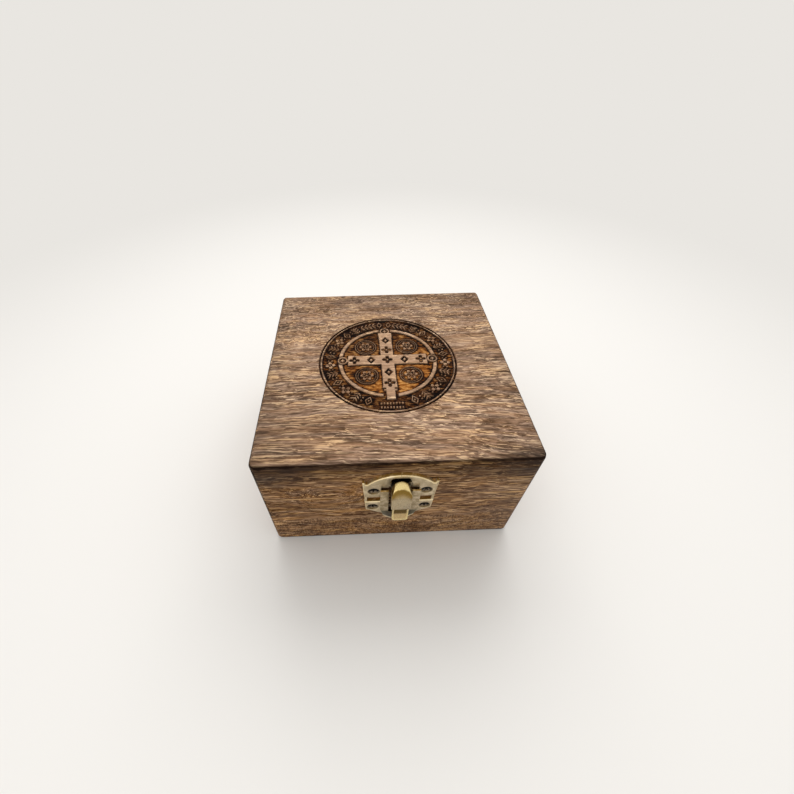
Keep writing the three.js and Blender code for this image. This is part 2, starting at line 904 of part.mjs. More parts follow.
// The latch: everything here is measured out from the box's front face
function makeLatch() {
  const group = new THREE.Group();
  group.position.set(latchOffset, -boxDepth / 2, 0);
  group.add(piece("latch_keeper", makeKeeper(), antiqueBrass()));
  group.add(piece("latch_plate", makeLatchPlate(), antiqueBrass()));
  group.add(piece("latch_lever", makeLever(), polishedBrass()));
  group.add(piece("latch_pin", makeLatchPin(), bronzedSteel()));
  group.add(piece("latch_spring", makeLatchSpring(), springSteel()));
  const rim = plateFace - latchScrewSink;
  const sides = ["left", "right"];
  keeperScrewPlaces().forEach(([x, z], i) => {
    const screw = screwSolid(latchScrewHead, latchScrewShank, rim);
    group.add(screwMesh(`keeper_screw_${sides[i]}`, screw, -1, x, z));
  });
  wingScrewPlaces().forEach(([x, z], i) => {
    const screw = screwSolid(latchScrewHead, latchScrewShank, rim);
    group.add(screwMesh(`latch_screw_${sides[i]}`, screw, -1, x, z));
  });
  return group;
}

// One butt hinge: two leaves, their pin and four screws, about the axis behind the seam
function makeHinge(name, x) {
  const group = new THREE.Group();
  const axisOut = barrelRadius + barrelGap;
  group.position.set(x, boxDepth / 2 + axisOut, seam);
  group.add(piece(`${name}_lid_leaf`, makeLeaf(1), antiqueBrass()));
  group.add(piece(`${name}_base_leaf`, makeLeaf(-1), antiqueBrass()));
  const pin = roundBar(hingePinRadius, leafWidth + 2 * hingePinHead);
  group.add(piece(`${name}_pin`, pin, bronzedSteel()));
  const rim = leafThickness - hingeScrewSink;
  const screws = new THREE.Group();
  screws.position.set(0, -axisOut, 0);
  for (const [part, sideZ] of [["lid", 1], ["base", -1]]) {
    leafScrewPlaces(sideZ).forEach(([screwX, screwZ], i) => {
      const screw = screwSolid(hingeScrewHead, hingeScrewShank, rim);
      screws.add(screwMesh(`${name}_${part}_screw_${i + 1}`, screw, 1, screwX, screwZ));
    });
  }
  group.add(screws);
  return group;
}

function makeBox() {
  const group = new THREE.Group();
  group.add(makeBaseWood());
  group.add(makeLidWood());
  group.add(makeLatch());
  const names = ["hinge_left", "hinge_right"];
  hingeOffsets().forEach((x, i) => group.add(makeHinge(names[i], x)));
  return group;
}

export default makeBox();
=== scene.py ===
"""The looks of a carbonised wooden prayer box with an engraved lid and a sprung brass latch."""

import math

import bmesh
import bpy
import numpy as np
from mathutils import Matrix, Vector


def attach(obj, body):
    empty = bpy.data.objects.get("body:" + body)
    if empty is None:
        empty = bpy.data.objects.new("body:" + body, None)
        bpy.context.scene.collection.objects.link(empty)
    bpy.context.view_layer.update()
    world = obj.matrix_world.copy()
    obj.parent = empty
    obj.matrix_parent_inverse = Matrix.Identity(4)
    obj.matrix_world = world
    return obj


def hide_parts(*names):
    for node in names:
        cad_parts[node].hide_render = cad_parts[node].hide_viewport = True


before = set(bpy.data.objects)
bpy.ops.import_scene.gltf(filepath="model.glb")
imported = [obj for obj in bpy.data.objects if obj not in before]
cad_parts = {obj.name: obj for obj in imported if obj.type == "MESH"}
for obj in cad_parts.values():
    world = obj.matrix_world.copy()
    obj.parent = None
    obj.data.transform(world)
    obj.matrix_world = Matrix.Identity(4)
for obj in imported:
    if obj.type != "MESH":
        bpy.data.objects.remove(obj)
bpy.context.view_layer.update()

MM = 0.001

# Sizes shared with the solids, in millimetres
BOX_HALF = 50.0
BOX_TOP = 57.0
SEAM = 34.6
LATCH_X = 1.1
PLATE_FACE = -51.5
PIVOT_OUT = 1.6
PIVOT_Z = 31.1
PIN_RADIUS = 0.7
HINGE_X = 27.0
HINGE_SCREW_ASIDE = 5.4
HINGE_SCREW_RISE = 5.2

# How far the screws' heads stand out from the boards
LATCH_HEADS_OUT = 0.95
HINGE_HEADS_OUT = 0.6

# How far each of the latch's screws is from its middle, how high it is, and how wide its seat is
KEEPER_SCREW = (9.407, 41.0)
PLATE_SCREW = (9.755, 29.3)
SEAT_RADIUS = 2.3


# Colours and nodes


def linear(code):
    """An sRGB hex colour as linear RGBA."""
    parts = [int(code[i:i + 2], 16) / 255 for i in (0, 2, 4)]
    return (*(c / 12.92 if c <= 0.04045 else ((c + 0.055) / 1.055) ** 2.4 for c in parts), 1.0)


def add(tree, kind, *values, out=0, stops=(), **settings):
    """Adds a node with its settings, fills its inputs and gives one of its outputs.

    The values fill the inputs in turn, or by name where they come as a dict. Each is a number, an
    output of another node or a hex colour. Stops are a colour ramp's places and colours.
    """
    made = tree.nodes.new(kind)
    for key, value in settings.items():
        setattr(made, key, value)
    given = values[0] if values and isinstance(values[0], dict) else dict(enumerate(values))
    for key, value in given.items():
        socket = made.inputs[key]
        if isinstance(value, bpy.types.NodeSocket):
            tree.links.new(value, socket)
        else:
            socket.default_value = linear(value) if isinstance(value, str) else value
    if stops:
        elements = made.color_ramp.elements
        while len(elements) < len(stops):
            elements.new(0.5)
        for element, (place, colour) in zip(elements, stops):
            element.position = place
            element.color = linear(colour)
    return made.outputs[out]


def new_material(name):
    """A material with its node tree and its shader."""
    material = bpy.data.materials.new(name)
    material.use_nodes = True
    return material, material.node_tree, material.node_tree.nodes["Principled BSDF"]


def millimetres(tree):
    """The piece's own coordinates, in millimetres."""
    place = add(tree, "ShaderNodeTexCoord", out="Object")
    return add(tree, "ShaderNodeVectorMath", {0: place, "Scale": 1000.0}, operation="SCALE")


def axes(tree):
    """The piece's own coordinates in millimetres, one by one."""
    return add(tree, "ShaderNodeSeparateXYZ", millimetres(tree)).node.outputs


def looking(tree):
    """Which way the surface looks: how far to the right, to the back and up."""
    way = add(tree, "ShaderNodeTexCoord", out="Normal")
    return add(tree, "ShaderNodeSeparateXYZ", way).node.outputs


def patches(tree, place, lengths, detail=3.0, roughness=0.5):
    """Soft patches of a length in millimetres along each axis, as values about a half."""
    shares = tuple(1 / length for length in lengths)
    drawn_out = add(tree, "ShaderNodeVectorMath", place, shares, operation="MULTIPLY")
    return add(
        tree,
        "ShaderNodeTexNoise",
        {"Vector": drawn_out, "Scale": 1.0, "Detail": detail, "Roughness": roughness},
    )


def summed(tree, *terms):
    """The sum of values, each taken about its middle and times its weight, about a half."""
    total = 0.5
    for value, weight in terms:
        part = add(tree, "ShaderNodeMath", value, weight, -weight / 2, operation="MULTIPLY_ADD")
        total = add(tree, "ShaderNodeMath", total, part, operation="ADD")
    return total


# Settings of a node that mixes two colours, and of one that eases a value from its start to its end
BLEND = {"out": 2, "data_type": "RGBA"}
EASE = {"interpolation_type": "SMOOTHSTEP"}

# How far up a face looks, where it begins to count as a top and where it is one
UPWARD = (0.6, 0.9)


def laid(tree, colour, upper, value, start, end, most=1.0):
    """The colour with an upper one eased in over it as a value goes from its start to its end."""
    amount = add(tree, "ShaderNodeMapRange", value, start, end, 0.0, most, **EASE)
    return add(tree, "ShaderNodeMix", {0: amount, 6: colour, 7: upper}, **BLEND)


# Carbonised wood: boards scorched with a torch, brushed along the grain and waxed. The burn
# leaves the soft wood grey-brown, the brush opens short dark pores, and the hard lines between
# them stay tan and catch the light. The edges burn deepest.

# Pores, ground, warm ground, hard lines and the lightest flecks
TOP_TONES = ("574130", "83654e", "9c7b62", "bd9a7b", "e2bc92")
FRONT_TONES = ("43270f", "765333", "946c47", "b78b5f", "e4b57e")
CHARRED_EDGE = "1d0f07"
CHARRED_SPOT = "3a302a"
SMOKE = "2b1c12"
SOOT = "6c5a50"

# Lengths of the grain's patterns along it and across it, in millimetres. Real fibres and pores
# are about 0.1 mm wide, and are drawn four or five times as coarse, so that they show.
GROWTH = (34.0, 5.0, 5.0)
BANDS = (22.0, 2.6, 2.6)
FLOCKS = (24.0, 8.0, 8.0)
STRANDS = (10.0, 0.85, 0.85)
FLECKS = (10.0, 0.52, 0.52)
PORES = (7.5, 0.52, 0.52)
FIBRES = (4.0, 0.42, 0.42)
BRUSHED_DEPTH = 0.25

# Centre, reach and height of each place where the walls' grain bulges, in millimetres
FRONT_KNOT = ((-24.0, 0.0, 34.0), (13.0, 300.0, 8.0), 9.0)
LOW_KNOT = ((14.0, 0.0, 6.0), (20.0, 300.0, 9.0), 8.0)
SIDE_KNOT = ((-12.0, 0.0, 22.0), (16.0, 300.0, 9.0), 8.0)

# Centre, reach and strength of each place where the torch or its soot stayed longest
SOOTY_END = ((47.0, -50.0, 22.0), (27.0, 20.0, 30.0), 0.38)
TOP_CORNERS = (
    ((-50.0, -50.0, 54.0), (20.0, 40.0, 9.0), 0.7),
    ((50.0, -50.0, 55.0), (16.0, 40.0, 8.0), 0.7),
)
TOP_SPOTS = (
    ((-50.0, -42.0, 57.0), (20.0, 24.0, 20.0), 0.5),
    ((52.0, -51.0, 57.0), (20.0, 7.0, 20.0), 1.0),
    ((51.0, -12.0, 57.0), (8.0, 32.0, 20.0), 0.42),
    ((-50.0, 6.0, 57.0), (7.0, 40.0, 20.0), 0.42),
    ((10.0, 50.0, 57.0), (70.0, 15.0, 20.0), 0.4),
)
LIGHT_STREAK = ((42.0, 11.6, 57.0), (18.0, 2.2, 20.0), 0.5)

SMOKED_DEPTH = 19.0
PITH_HEIGHT = 17.0


def grain_place(tree, turn, shift):
    """The place in millimetres, with the grain along its first axis."""
    return add(
        tree,
        "ShaderNodeMapping",
        {"Vector": millimetres(tree), "Rotation": (0, 0, turn), "Location": shift},
    )


def pushed(tree, place, amount):
    """The place pushed across the grain by an amount in millimetres."""
    offset = add(tree, "ShaderNodeCombineXYZ", 0.0, amount, amount)
    return add(tree, "ShaderNodeVectorMath", place, offset, operation="ADD")


def wave(tree, place, length, height, share=1.0):
    """Slow waves across the grain, of a length and height in millimetres."""
    lumps = patches(tree, place, (1.4 * length, length, length), 2.0)
    amount = add(tree, "ShaderNodeMath", lumps, 2 * height, -height, operation="MULTIPLY_ADD")
    return add(tree, "ShaderNodeMath", amount, share, operation="MULTIPLY")


def knot(tree, place, centre, reach, height):
    """A soft bulge: its centre, its reach each way and its height."""
    away = add(tree, "ShaderNodeVectorMath", place, centre, operation="SUBTRACT")
    away = add(tree, "ShaderNodeVectorMath", away, reach, operation="DIVIDE")
    square = add(tree, "ShaderNodeVectorMath", away, away, out="Value", operation="DOT_PRODUCT")
    fall = add(tree, "ShaderNodeMath", math.exp(-1), square, operation="POWER")
    return add(tree, "ShaderNodeMath", fall, height, operation="MULTIPLY")


def edge_distance(tree):
    """How far a point is from the box's nearest outer edge, in millimetres."""
    x, y, z = axes(tree)
    wide, deep = (add(tree, "ShaderNodeMath", axis, operation="ABSOLUTE") for axis in (x, y))
    wide, deep, drop = (
        add(tree, "ShaderNodeMath", reach, axis, operation="SUBTRACT")
        for reach, axis in ((BOX_HALF, wide), (BOX_HALF, deep), (BOX_TOP, z))
    )
    tall = add(tree, "ShaderNodeMath", z, drop, operation="MINIMUM")
    nearest = [
        add(tree, "ShaderNodeMath", *pair, operation="MAXIMUM")
        for pair in ((wide, deep), (wide, tall), (deep, tall))
    ]
    first = add(tree, "ShaderNodeMath", nearest[0], nearest[1], operation="MINIMUM")
    return add(tree, "ShaderNodeMath", first, nearest[2], operation="MINIMUM")


def brushed_grain(tree, place, tones):
    """Colour and height of brushed carbonised wood at a place whose first axis is the grain."""
    pore, ground, warm, streak, glint = tones
    growth = patches(tree, place, GROWTH, 3.0)
    strands = patches(tree, place, STRANDS, 4.0, 0.65)
    fibres = patches(tree, place, FIBRES, 2.0, 0.6)
    tone = summed(tree, (growth, 1.3), (strands, 2.6), (fibres, 1.3))
    stops = [(0.12, pore), (0.42, ground), (0.68, warm), (0.95, streak)]
    colour = add(tree, "ShaderNodeValToRGB", tone, stops=stops)
    pores = patches(tree, place, PORES, 2.0, 0.5)
    colour = laid(tree, colour, pore, pores, 0.55, 0.65, 0.85)
    flecks = patches(tree, place, FLECKS, 3.0, 0.55)
    flocks = patches(tree, place, FLOCKS, 2.0)
    bright = summed(tree, (flecks, 1.1), (flocks, 0.4))
    colour = laid(tree, colour, glint, bright, 0.55, 0.66, 0.95)
    # The torch leaves some bands greyer than others
    bands = patches(tree, place, BANDS, 3.0)
    depth = add(tree, "ShaderNodeMapRange", bands, 0.35, 0.65, 1.08, 0.9, **EASE)
    colour = add(tree, "ShaderNodeHueSaturation", {"Saturation": depth, "Color": colour})
    height = summed(tree, (strands, 0.9), (flecks, 0.8), (pores, -0.9))
    return colour, height


def burnt_edges(tree, colour, amount, reach):
    """The colour with the box's outer edges burnt: how black, and how far in millimetres."""
    place = millimetres(tree)
    ragged = patches(tree, place, (2.8, 2.8, 1.7), 4.0)
    uneven = patches(tree, place, (30.0, 30.0, 30.0), 2.0)
    spread = add(tree, "ShaderNodeMath", uneven, 3.2 * reach, reach, operation="MULTIPLY_ADD")
    spread = add(tree, "ShaderNodeMath", ragged, spread, operation="MULTIPLY")
    inside = add(tree, "ShaderNodeMath", edge_distance(tree), spread, operation="SUBTRACT")
    strength = add(tree, "ShaderNodeMapRange", uneven, 0.38, 0.58, 0.55 * amount, amount, **EASE)
    return laid(tree, colour, CHARRED_EDGE, inside, 0.2, -0.8, strength)


def smoked(tree, colour):
    """The colour darkened down from the box's top edges, most at the corners."""
    x, _, z = axes(tree)
    aside = add(tree, "ShaderNodeMath", x, operation="ABSOLUTE")
    clouds = patches(tree, millimetres(tree), (22.0, 22.0, 3.0), 3.0)
    level = add(tree, "ShaderNodeMath", clouds, 6.0, z, operation="MULTIPLY_ADD")
    corner = add(tree, "ShaderNodeMapRange", aside, 22.0, BOX_HALF, 0.0, 4.0, **EASE)
    level = add(tree, "ShaderNodeMath", level, corner, operation="ADD")
    streaks = patches(tree, millimetres(tree), (15.0, 15.0, 0.9), 4.0, 0.6)
    thick = add(tree, "ShaderNodeMapRange", streaks, 0.38, 0.62, 0.55, 0.95, **EASE)
    end = BOX_TOP + 4.0
    return laid(tree, colour, SMOKE, level, end - SMOKED_DEPTH, end, thick)


def scorched(tree, colour, spots):
    """The colour charred in ragged spots. Each is a centre, a reach and a strength."""
    place = millimetres(tree)
    ragged = patches(tree, place, (12.0, 4.0, 2.5), 4.0, 0.6)
    amount = 0.0
    for spot in spots:
        amount = add(tree, "ShaderNodeMath", amount, knot(tree, place, *spot), operation="ADD")
    share = add(tree, "ShaderNodeMapRange", ragged, 0.35, 0.6, 0.5, 1.0, **EASE)
    amount = add(tree, "ShaderNodeMath", amount, share, operation="MULTIPLY", use_clamp=True)
    return add(tree, "ShaderNodeMix", {0: amount, 6: colour, 7: CHARRED_SPOT}, **BLEND)


def mottled(tree, colour):
    """The colour with fine specks low down, where the board's pith is cut through."""
    z = axes(tree)[2]
    ragged = patches(tree, millimetres(tree), (9.0, 9.0, 9.0), 3.0)
    level = add(tree, "ShaderNodeMath", ragged, -7.0, z, operation="MULTIPLY_ADD")
    dark, light = (
        add(tree, "ShaderNodeMapRange", level, PITH_HEIGHT - 4.5, PITH_HEIGHT - 2.5, most, 0.0, **EASE)
        for most in (0.64, 0.52)
    )
    specks = patches(tree, millimetres(tree), (0.62, 0.62, 1.5), 3.0, 0.6)
    colour = laid(tree, colour, FRONT_TONES[0], specks, 0.5, 0.62, dark)
    return laid(tree, colour, FRONT_TONES[3], specks, 0.47, 0.36, light)


def seam_highlight_and_shade(tree, colour):
    """The colour at the seam's outer edges: a painted highlight on the base's, painted shade on the lid's.
    """
    x, y, z = axes(tree)
    aside, away = (add(tree, "ShaderNodeMath", axis, operation="ABSOLUTE") for axis in (x, y))
    reach = add(tree, "ShaderNodeMath", aside, away, operation="MAXIMUM")
    outer = (reach, BOX_HALF - 1.6, BOX_HALF - 0.5)
    # A painted highlight along the base's upper edge, which looks up
    ragged = patches(tree, millimetres(tree), (14.0, 14.0, 14.0), 3.0, 0.6)
    light = add(tree, "ShaderNodeMapRange", ragged, 0.42, 0.6, 0.1, 0.8, **EASE)
    light = add(tree, "ShaderNodeMapRange", *outer, 0.0, light, **EASE)
    light = add(tree, "ShaderNodeMapRange", z, SEAM + 0.05, SEAM, 0.0, light, **EASE)
    colour = laid(tree, colour, FRONT_TONES[4], z, SEAM - 0.75, SEAM - 0.35, light)
    # Painted shade along the lid's lower edge, which looks down
    dark = add(tree, "ShaderNodeMapRange", *outer, 0.0, 0.85, **EASE)
    dark = add(tree, "ShaderNodeMapRange", z, SEAM + 0.9, SEAM + 0.3, 0.0, dark, **EASE)
    return laid(tree, colour, FRONT_TONES[0], z, SEAM, SEAM + 0.05, dark)


def finish_wood(tree, shader, colour, height, shine):
    """Wax on the wood: a faint sheen on the hard lines, and none in the pores."""
    tree.links.new(colour, shader.inputs["Base Color"])
    rough = add(tree, "ShaderNodeMapRange", height, 0.3, 0.7, 0.8, 0.55, **EASE)
    tree.links.new(rough, shader.inputs["Roughness"])
    shader.inputs["Specular IOR Level"].default_value = shine
    relief = {"Height": height, "Strength": 0.45, "Distance": BRUSHED_DEPTH * MM}
    tree.links.new(add(tree, "ShaderNodeBump", relief), shader.inputs["Normal"])


def carbonised_wood(name, knots=(), turn=0.0, shift=(0.0, 0.0, 0.0)):
    """A wall board, with its grain bent round its knots."""
    material, tree, shader = new_material(name)
    place = grain_place(tree, turn, shift)
    bend = wave(tree, place, 26.0, 4.0)
    for bulge in knots:
        bend = add(tree, "ShaderNodeMath", bend, knot(tree, place, *bulge), operation="ADD")
    bent = pushed(tree, pushed(tree, place, bend), wave(tree, place, 7.0, 0.9))
    colour, height = brushed_grain(tree, bent, FRONT_TONES)
    colour = mottled(tree, colour)
    sooty = knot(tree, millimetres(tree), *SOOTY_END)
    colour = add(tree, "ShaderNodeMix", {0: sooty, 6: colour, 7: SOOT}, **BLEND)
    colour = smoked(tree, seam_highlight_and_shade(tree, colour))
    colour = burnt_edges(tree, scorched(tree, colour, TOP_CORNERS), 0.85, 1.0)
    finish_wood(tree, shader, colour, height, 0.12)
    return material


def top_place(tree):
    """The top board's place, bent as its grain is.

    The grain fans out in long lines in front, is short in the middle, and curls at the back.
    """
    place = grain_place(tree, 0.0, (3.0, 11.0, 7.0))
    x, y, _ = axes(tree)
    shortened = add(tree, "ShaderNodeMapRange", y, -40.0, -10.0, 0.75, 1.3, **EASE)
    stretch = add(tree, "ShaderNodeCombineXYZ", shortened, 1.12, 1.12)
    place = add(tree, "ShaderNodeVectorMath", place, stretch, operation="MULTIPLY")
    behind = add(tree, "ShaderNodeMath", x, -0.066, y, operation="MULTIPLY_ADD")
    curled = add(tree, "ShaderNodeMapRange", behind, 10.5, 15.0, **EASE)
    curl = wave(tree, place, 6.5, 2.9, curled)
    bend = add(tree, "ShaderNodeMath", curl, wave(tree, place, 45.0, 4.0), operation="ADD")
    from_left = add(tree, "ShaderNodeMath", x, BOX_HALF, operation="ADD")
    fanned = add(tree, "ShaderNodeMapRange", y, 10.0, -45.0, **EASE)
    fan = add(tree, "ShaderNodeMath", from_left, fanned, operation="MULTIPLY")
    fan = add(tree, "ShaderNodeMath", fan, from_left, operation="MULTIPLY")
    bend = add(tree, "ShaderNodeMath", fan, 0.00095, bend, operation="MULTIPLY_ADD")
    return pushed(tree, pushed(tree, place, bend), wave(tree, place, 5.5, 0.9))


def top_surface(tree):
    """Colour and height of the uncut top board, whose sides are as dark as the walls."""
    place = top_place(tree)
    grain, height = brushed_grain(tree, place, TOP_TONES)
    light = knot(tree, millimetres(tree), *LIGHT_STREAK)
    grain = add(tree, "ShaderNodeMix", {0: light, 6: grain, 7: TOP_TONES[3]}, **BLEND)
    above = burnt_edges(tree, scorched(tree, grain, TOP_SPOTS), 0.9, 0.45)
    sides = smoked(tree, brushed_grain(tree, place, FRONT_TONES)[0])
    sides = burnt_edges(tree, scorched(tree, sides, TOP_CORNERS), 0.95, 1.1)
    return laid(tree, sides, above, looking(tree)[2], *UPWARD), height


def burnt_floor(tree, wall, gold):
    """The engraving's floor: burnt darkest by its walls, and golden where the heat was less."""
    smoke = patches(tree, millimetres(tree), (5.0, 5.0, 5.0), 3.0, 0.6)
    grit = patches(tree, millimetres(tree), (2.6, 0.6, 0.9), 4.0, 0.7)
    shade = summed(tree, (smoke, 1.8), (grit, 3.0))
    shade = add(tree, "ShaderNodeMath", wall, -0.6, shade, operation="MULTIPLY_ADD")
    stops = [(0.1, "060100"), (0.4, "2e1405"), (0.65, "603916"), (1.0, "9c774b")]
    dark = add(tree, "ShaderNodeValToRGB", shade, stops=stops)
    stops = [(0.1, "220c01"), (0.38, "7b4414"), (0.62, "a3672b"), (1.0, "cb9453")]
    golden = add(tree, "ShaderNodeValToRGB", shade, stops=stops)
    return add(tree, "ShaderNodeMix", {0: gold, 6: dark, 7: golden}, **BLEND)


def engraved_wood(name):
    """The lid's top board. The engraving's attributes say where it is cut, cleaned or toasted."""
    material, tree, shader = new_material(name)
    cut, wall, gold, land, clean = (
        add(tree, "ShaderNodeAttribute", out="Fac", attribute_name=word)
        for word in ("cut", "wall", "gold", "land", "clean")
    )
    raised, height = top_surface(tree)
    for amount, tone in ((clean, "c49d7c"), (land, "8a6243")):
        raised = add(tree, "ShaderNodeMix", {0: amount, 6: raised, 7: tone}, **BLEND)
    floor = burnt_floor(tree, wall, gold)
    colour = add(tree, "ShaderNodeMix", {0: cut, 6: raised, 7: floor}, **BLEND)
    finish_wood(tree, shader, colour, height, 0.04)
    return material


# Metals

# Near-black, for grime and for painted shadow and shade round the screws
GRIME_AND_SHADOW = "080504"

# Barrel polishing leaves a grit of about 0.05 mm, drawn five times as coarse so that it shows
GRIT = 0.25
GRIT_DEPTH = 0.02

# Where each shade on the latch begins and ends, in millimetres. Heights: the housing's painted
# shade underneath, the lever's worn end with its painted highlight, the step above its lip, the
# painted shade in the hollow and the painted highlight on the crown.
UNDERSIDE_SHADE = (29.5, 27.5)
LEVER_END = (28.6, 27.9)
LIP_STEP = (36.3, 36.6)
HOLLOW_SHADE = (43.8, 47.6)
CROWN_HIGHLIGHT = (48.4, 49.0)
# To either side of the middle: the housing's slot, from which the painted shade under it lightens, and the
# lever's rims
SLOT_SIDE = (3.6, 6.4)
LEVER_RIM = (2.1, 2.4)
# In depth: the hollow of the lip, where a painted shadow lies, and the painted shadow behind the crown
LIP_SHADOW = (-55.3, -54.95)
SHADOW_BEHIND_CROWN = (-52.5, -51.9)


def from_middle(tree, x):
    """How far a point is to either side of the latch's middle, in millimetres."""
    aside = add(tree, "ShaderNodeMath", x, -LATCH_X, operation="ADD")
    return add(tree, "ShaderNodeMath", aside, operation="ABSOLUTE")


def from_screws(tree, drop=0.0):
    """How far a point of the latch is from the nearest screw, or from a drop below it."""
    x, _, z = axes(tree)
    flat = add(tree, "ShaderNodeCombineXYZ", from_middle(tree, x), z, 0.0)
    ways = [
        add(tree, "ShaderNodeVectorMath", flat, (out, up - drop, 0.0), out="Value", operation="DISTANCE")
        for out, up in (KEEPER_SCREW, PLATE_SCREW)
    ]
    return add(tree, "ShaderNodeMath", *ways, operation="MINIMUM")


def latch_shading(tree, colour):
    """Painted gold reflections and glints on faces that look up, grime and a painted shadow round
    the screws, and painted shade under the housing.

    Gives the colour, and where grime and painted shadow and shade hide the pale skin of the plating.
    """
    x, y, z = axes(tree)
    # The flat plates are rubbed paler than the raised housing
    colour = laid(tree, colour, "f6e2bc", y, PLATE_FACE - 0.15, PLATE_FACE - 0.05, 0.28)
    # A painted reflection of the gold-brown wood, with painted glints, on the faces that look up
    painted_glints = patches(tree, millimetres(tree), (1.6, 1.6, 1.6), 2.0)
    golden = laid(tree, "b08a45", "e6cc90", painted_glints, 0.5, 0.72)
    colour = laid(tree, colour, golden, looking(tree)[2], *UPWARD)
    # Grime with painted shade in each screw's seat, and a painted black shadow over the seat's top
    near = (from_screws(tree), SEAT_RADIUS, SEAT_RADIUS - 0.25)
    seat = add(tree, "ShaderNodeMapRange", *near, 0.0, 0.8, **EASE)
    colour = add(tree, "ShaderNodeMix", {0: seat, 6: colour, 7: "5a4a30"}, **BLEND)
    near = (from_screws(tree, 0.5), SEAT_RADIUS - 0.3, SEAT_RADIUS)
    high = add(tree, "ShaderNodeMapRange", *near, 0.0, seat, **EASE)
    colour = add(tree, "ShaderNodeMix", {0: high, 6: colour, 7: GRIME_AND_SHADOW}, **BLEND)
    # Painted shade where the raised housing turns under, darkest by the lever's slot
    raised = add(tree, "ShaderNodeMapRange", y, PLATE_FACE - 0.1, PLATE_FACE - 0.25, **EASE)
    under = add(tree, "ShaderNodeMapRange", z, *UNDERSIDE_SHADE, 0.0, raised, **EASE)
    aside = from_middle(tree, x)
    hollow = laid(tree, "41350f", "6f6a50", aside, *SLOT_SIDE)
    # The casting's lower rim is rubbed pale
    from_rim = add(tree, "ShaderNodeMath", aside, -1.1, z, operation="MULTIPLY_ADD")
    hollow = laid(tree, hollow, "e6d6b0", from_rim, 18.0, 17.3)
    colour = add(tree, "ShaderNodeMix", {0: under, 6: colour, 7: hollow}, **BLEND)
    return colour, add(tree, "ShaderNodeMath", high, under, operation="MAXIMUM")


def head_shading(tree, colour):
    """Grime round a screw's head with a painted shadow over its top, and painted shade with grime in its
    recess.

    Gives the colour, and where grime and painted shadow and shade hide the pale skin of the plating.
    """
    # A ring of grime round the head, widened over its top into a painted shadow
    rim = add(tree, "ShaderNodeMapRange", from_screws(tree, 0.75), 1.0, 1.45, **EASE)
    y = axes(tree)[1]
    # Painted shade, with grime, deep in the cross recess
    recess = add(tree, "ShaderNodeMapRange", y, PLATE_FACE + 0.5, PLATE_FACE + 0.75, **EASE)
    grime = add(tree, "ShaderNodeMath", rim, recess, operation="MAXIMUM")
    return add(tree, "ShaderNodeMix", {0: grime, 6: colour, 7: GRIME_AND_SHADOW}, **BLEND), grime


def plated_metal(name, face, tarnish, metallic, roughness, mottle, shading=None):
    """A plated metal with a patchy tarnish and a fine grit left by barrel polishing."""
    material, tree, shader = new_material(name)
    shader.inputs["Metallic"].default_value = metallic
    place = millimetres(tree)
    stains = patches(tree, place, (2.8, 2.8, 2.8), 4.0, 0.6)
    grit = patches(tree, place, (GRIT, GRIT, GRIT), 2.0, 0.6)
    spread = summed(tree, (stains, 1.6), (grit, 0.6))
    colour = laid(tree, face, tarnish, spread, 0.8, 0.3, mottle)
    # Where the shading paints shade, shadow or grime, the metal loses its pale sheen
    if shading:
        colour, dull = shading(tree, colour)
        bare = add(tree, "ShaderNodeMapRange", dull, 0.0, 1.0, metallic, 1.0, **EASE)
        tree.links.new(bare, shader.inputs["Metallic"])
    tree.links.new(colour, shader.inputs["Base Color"])
    rough = add(tree, "ShaderNodeMath", stains, 0.2, roughness - 0.1, operation="MULTIPLY_ADD")
    tree.links.new(rough, shader.inputs["Roughness"])
    relief = {"Height": grit, "Strength": 0.25, "Distance": GRIT_DEPTH * MM}
    tree.links.new(add(tree, "ShaderNodeBump", relief), shader.inputs["Normal"])
    return material


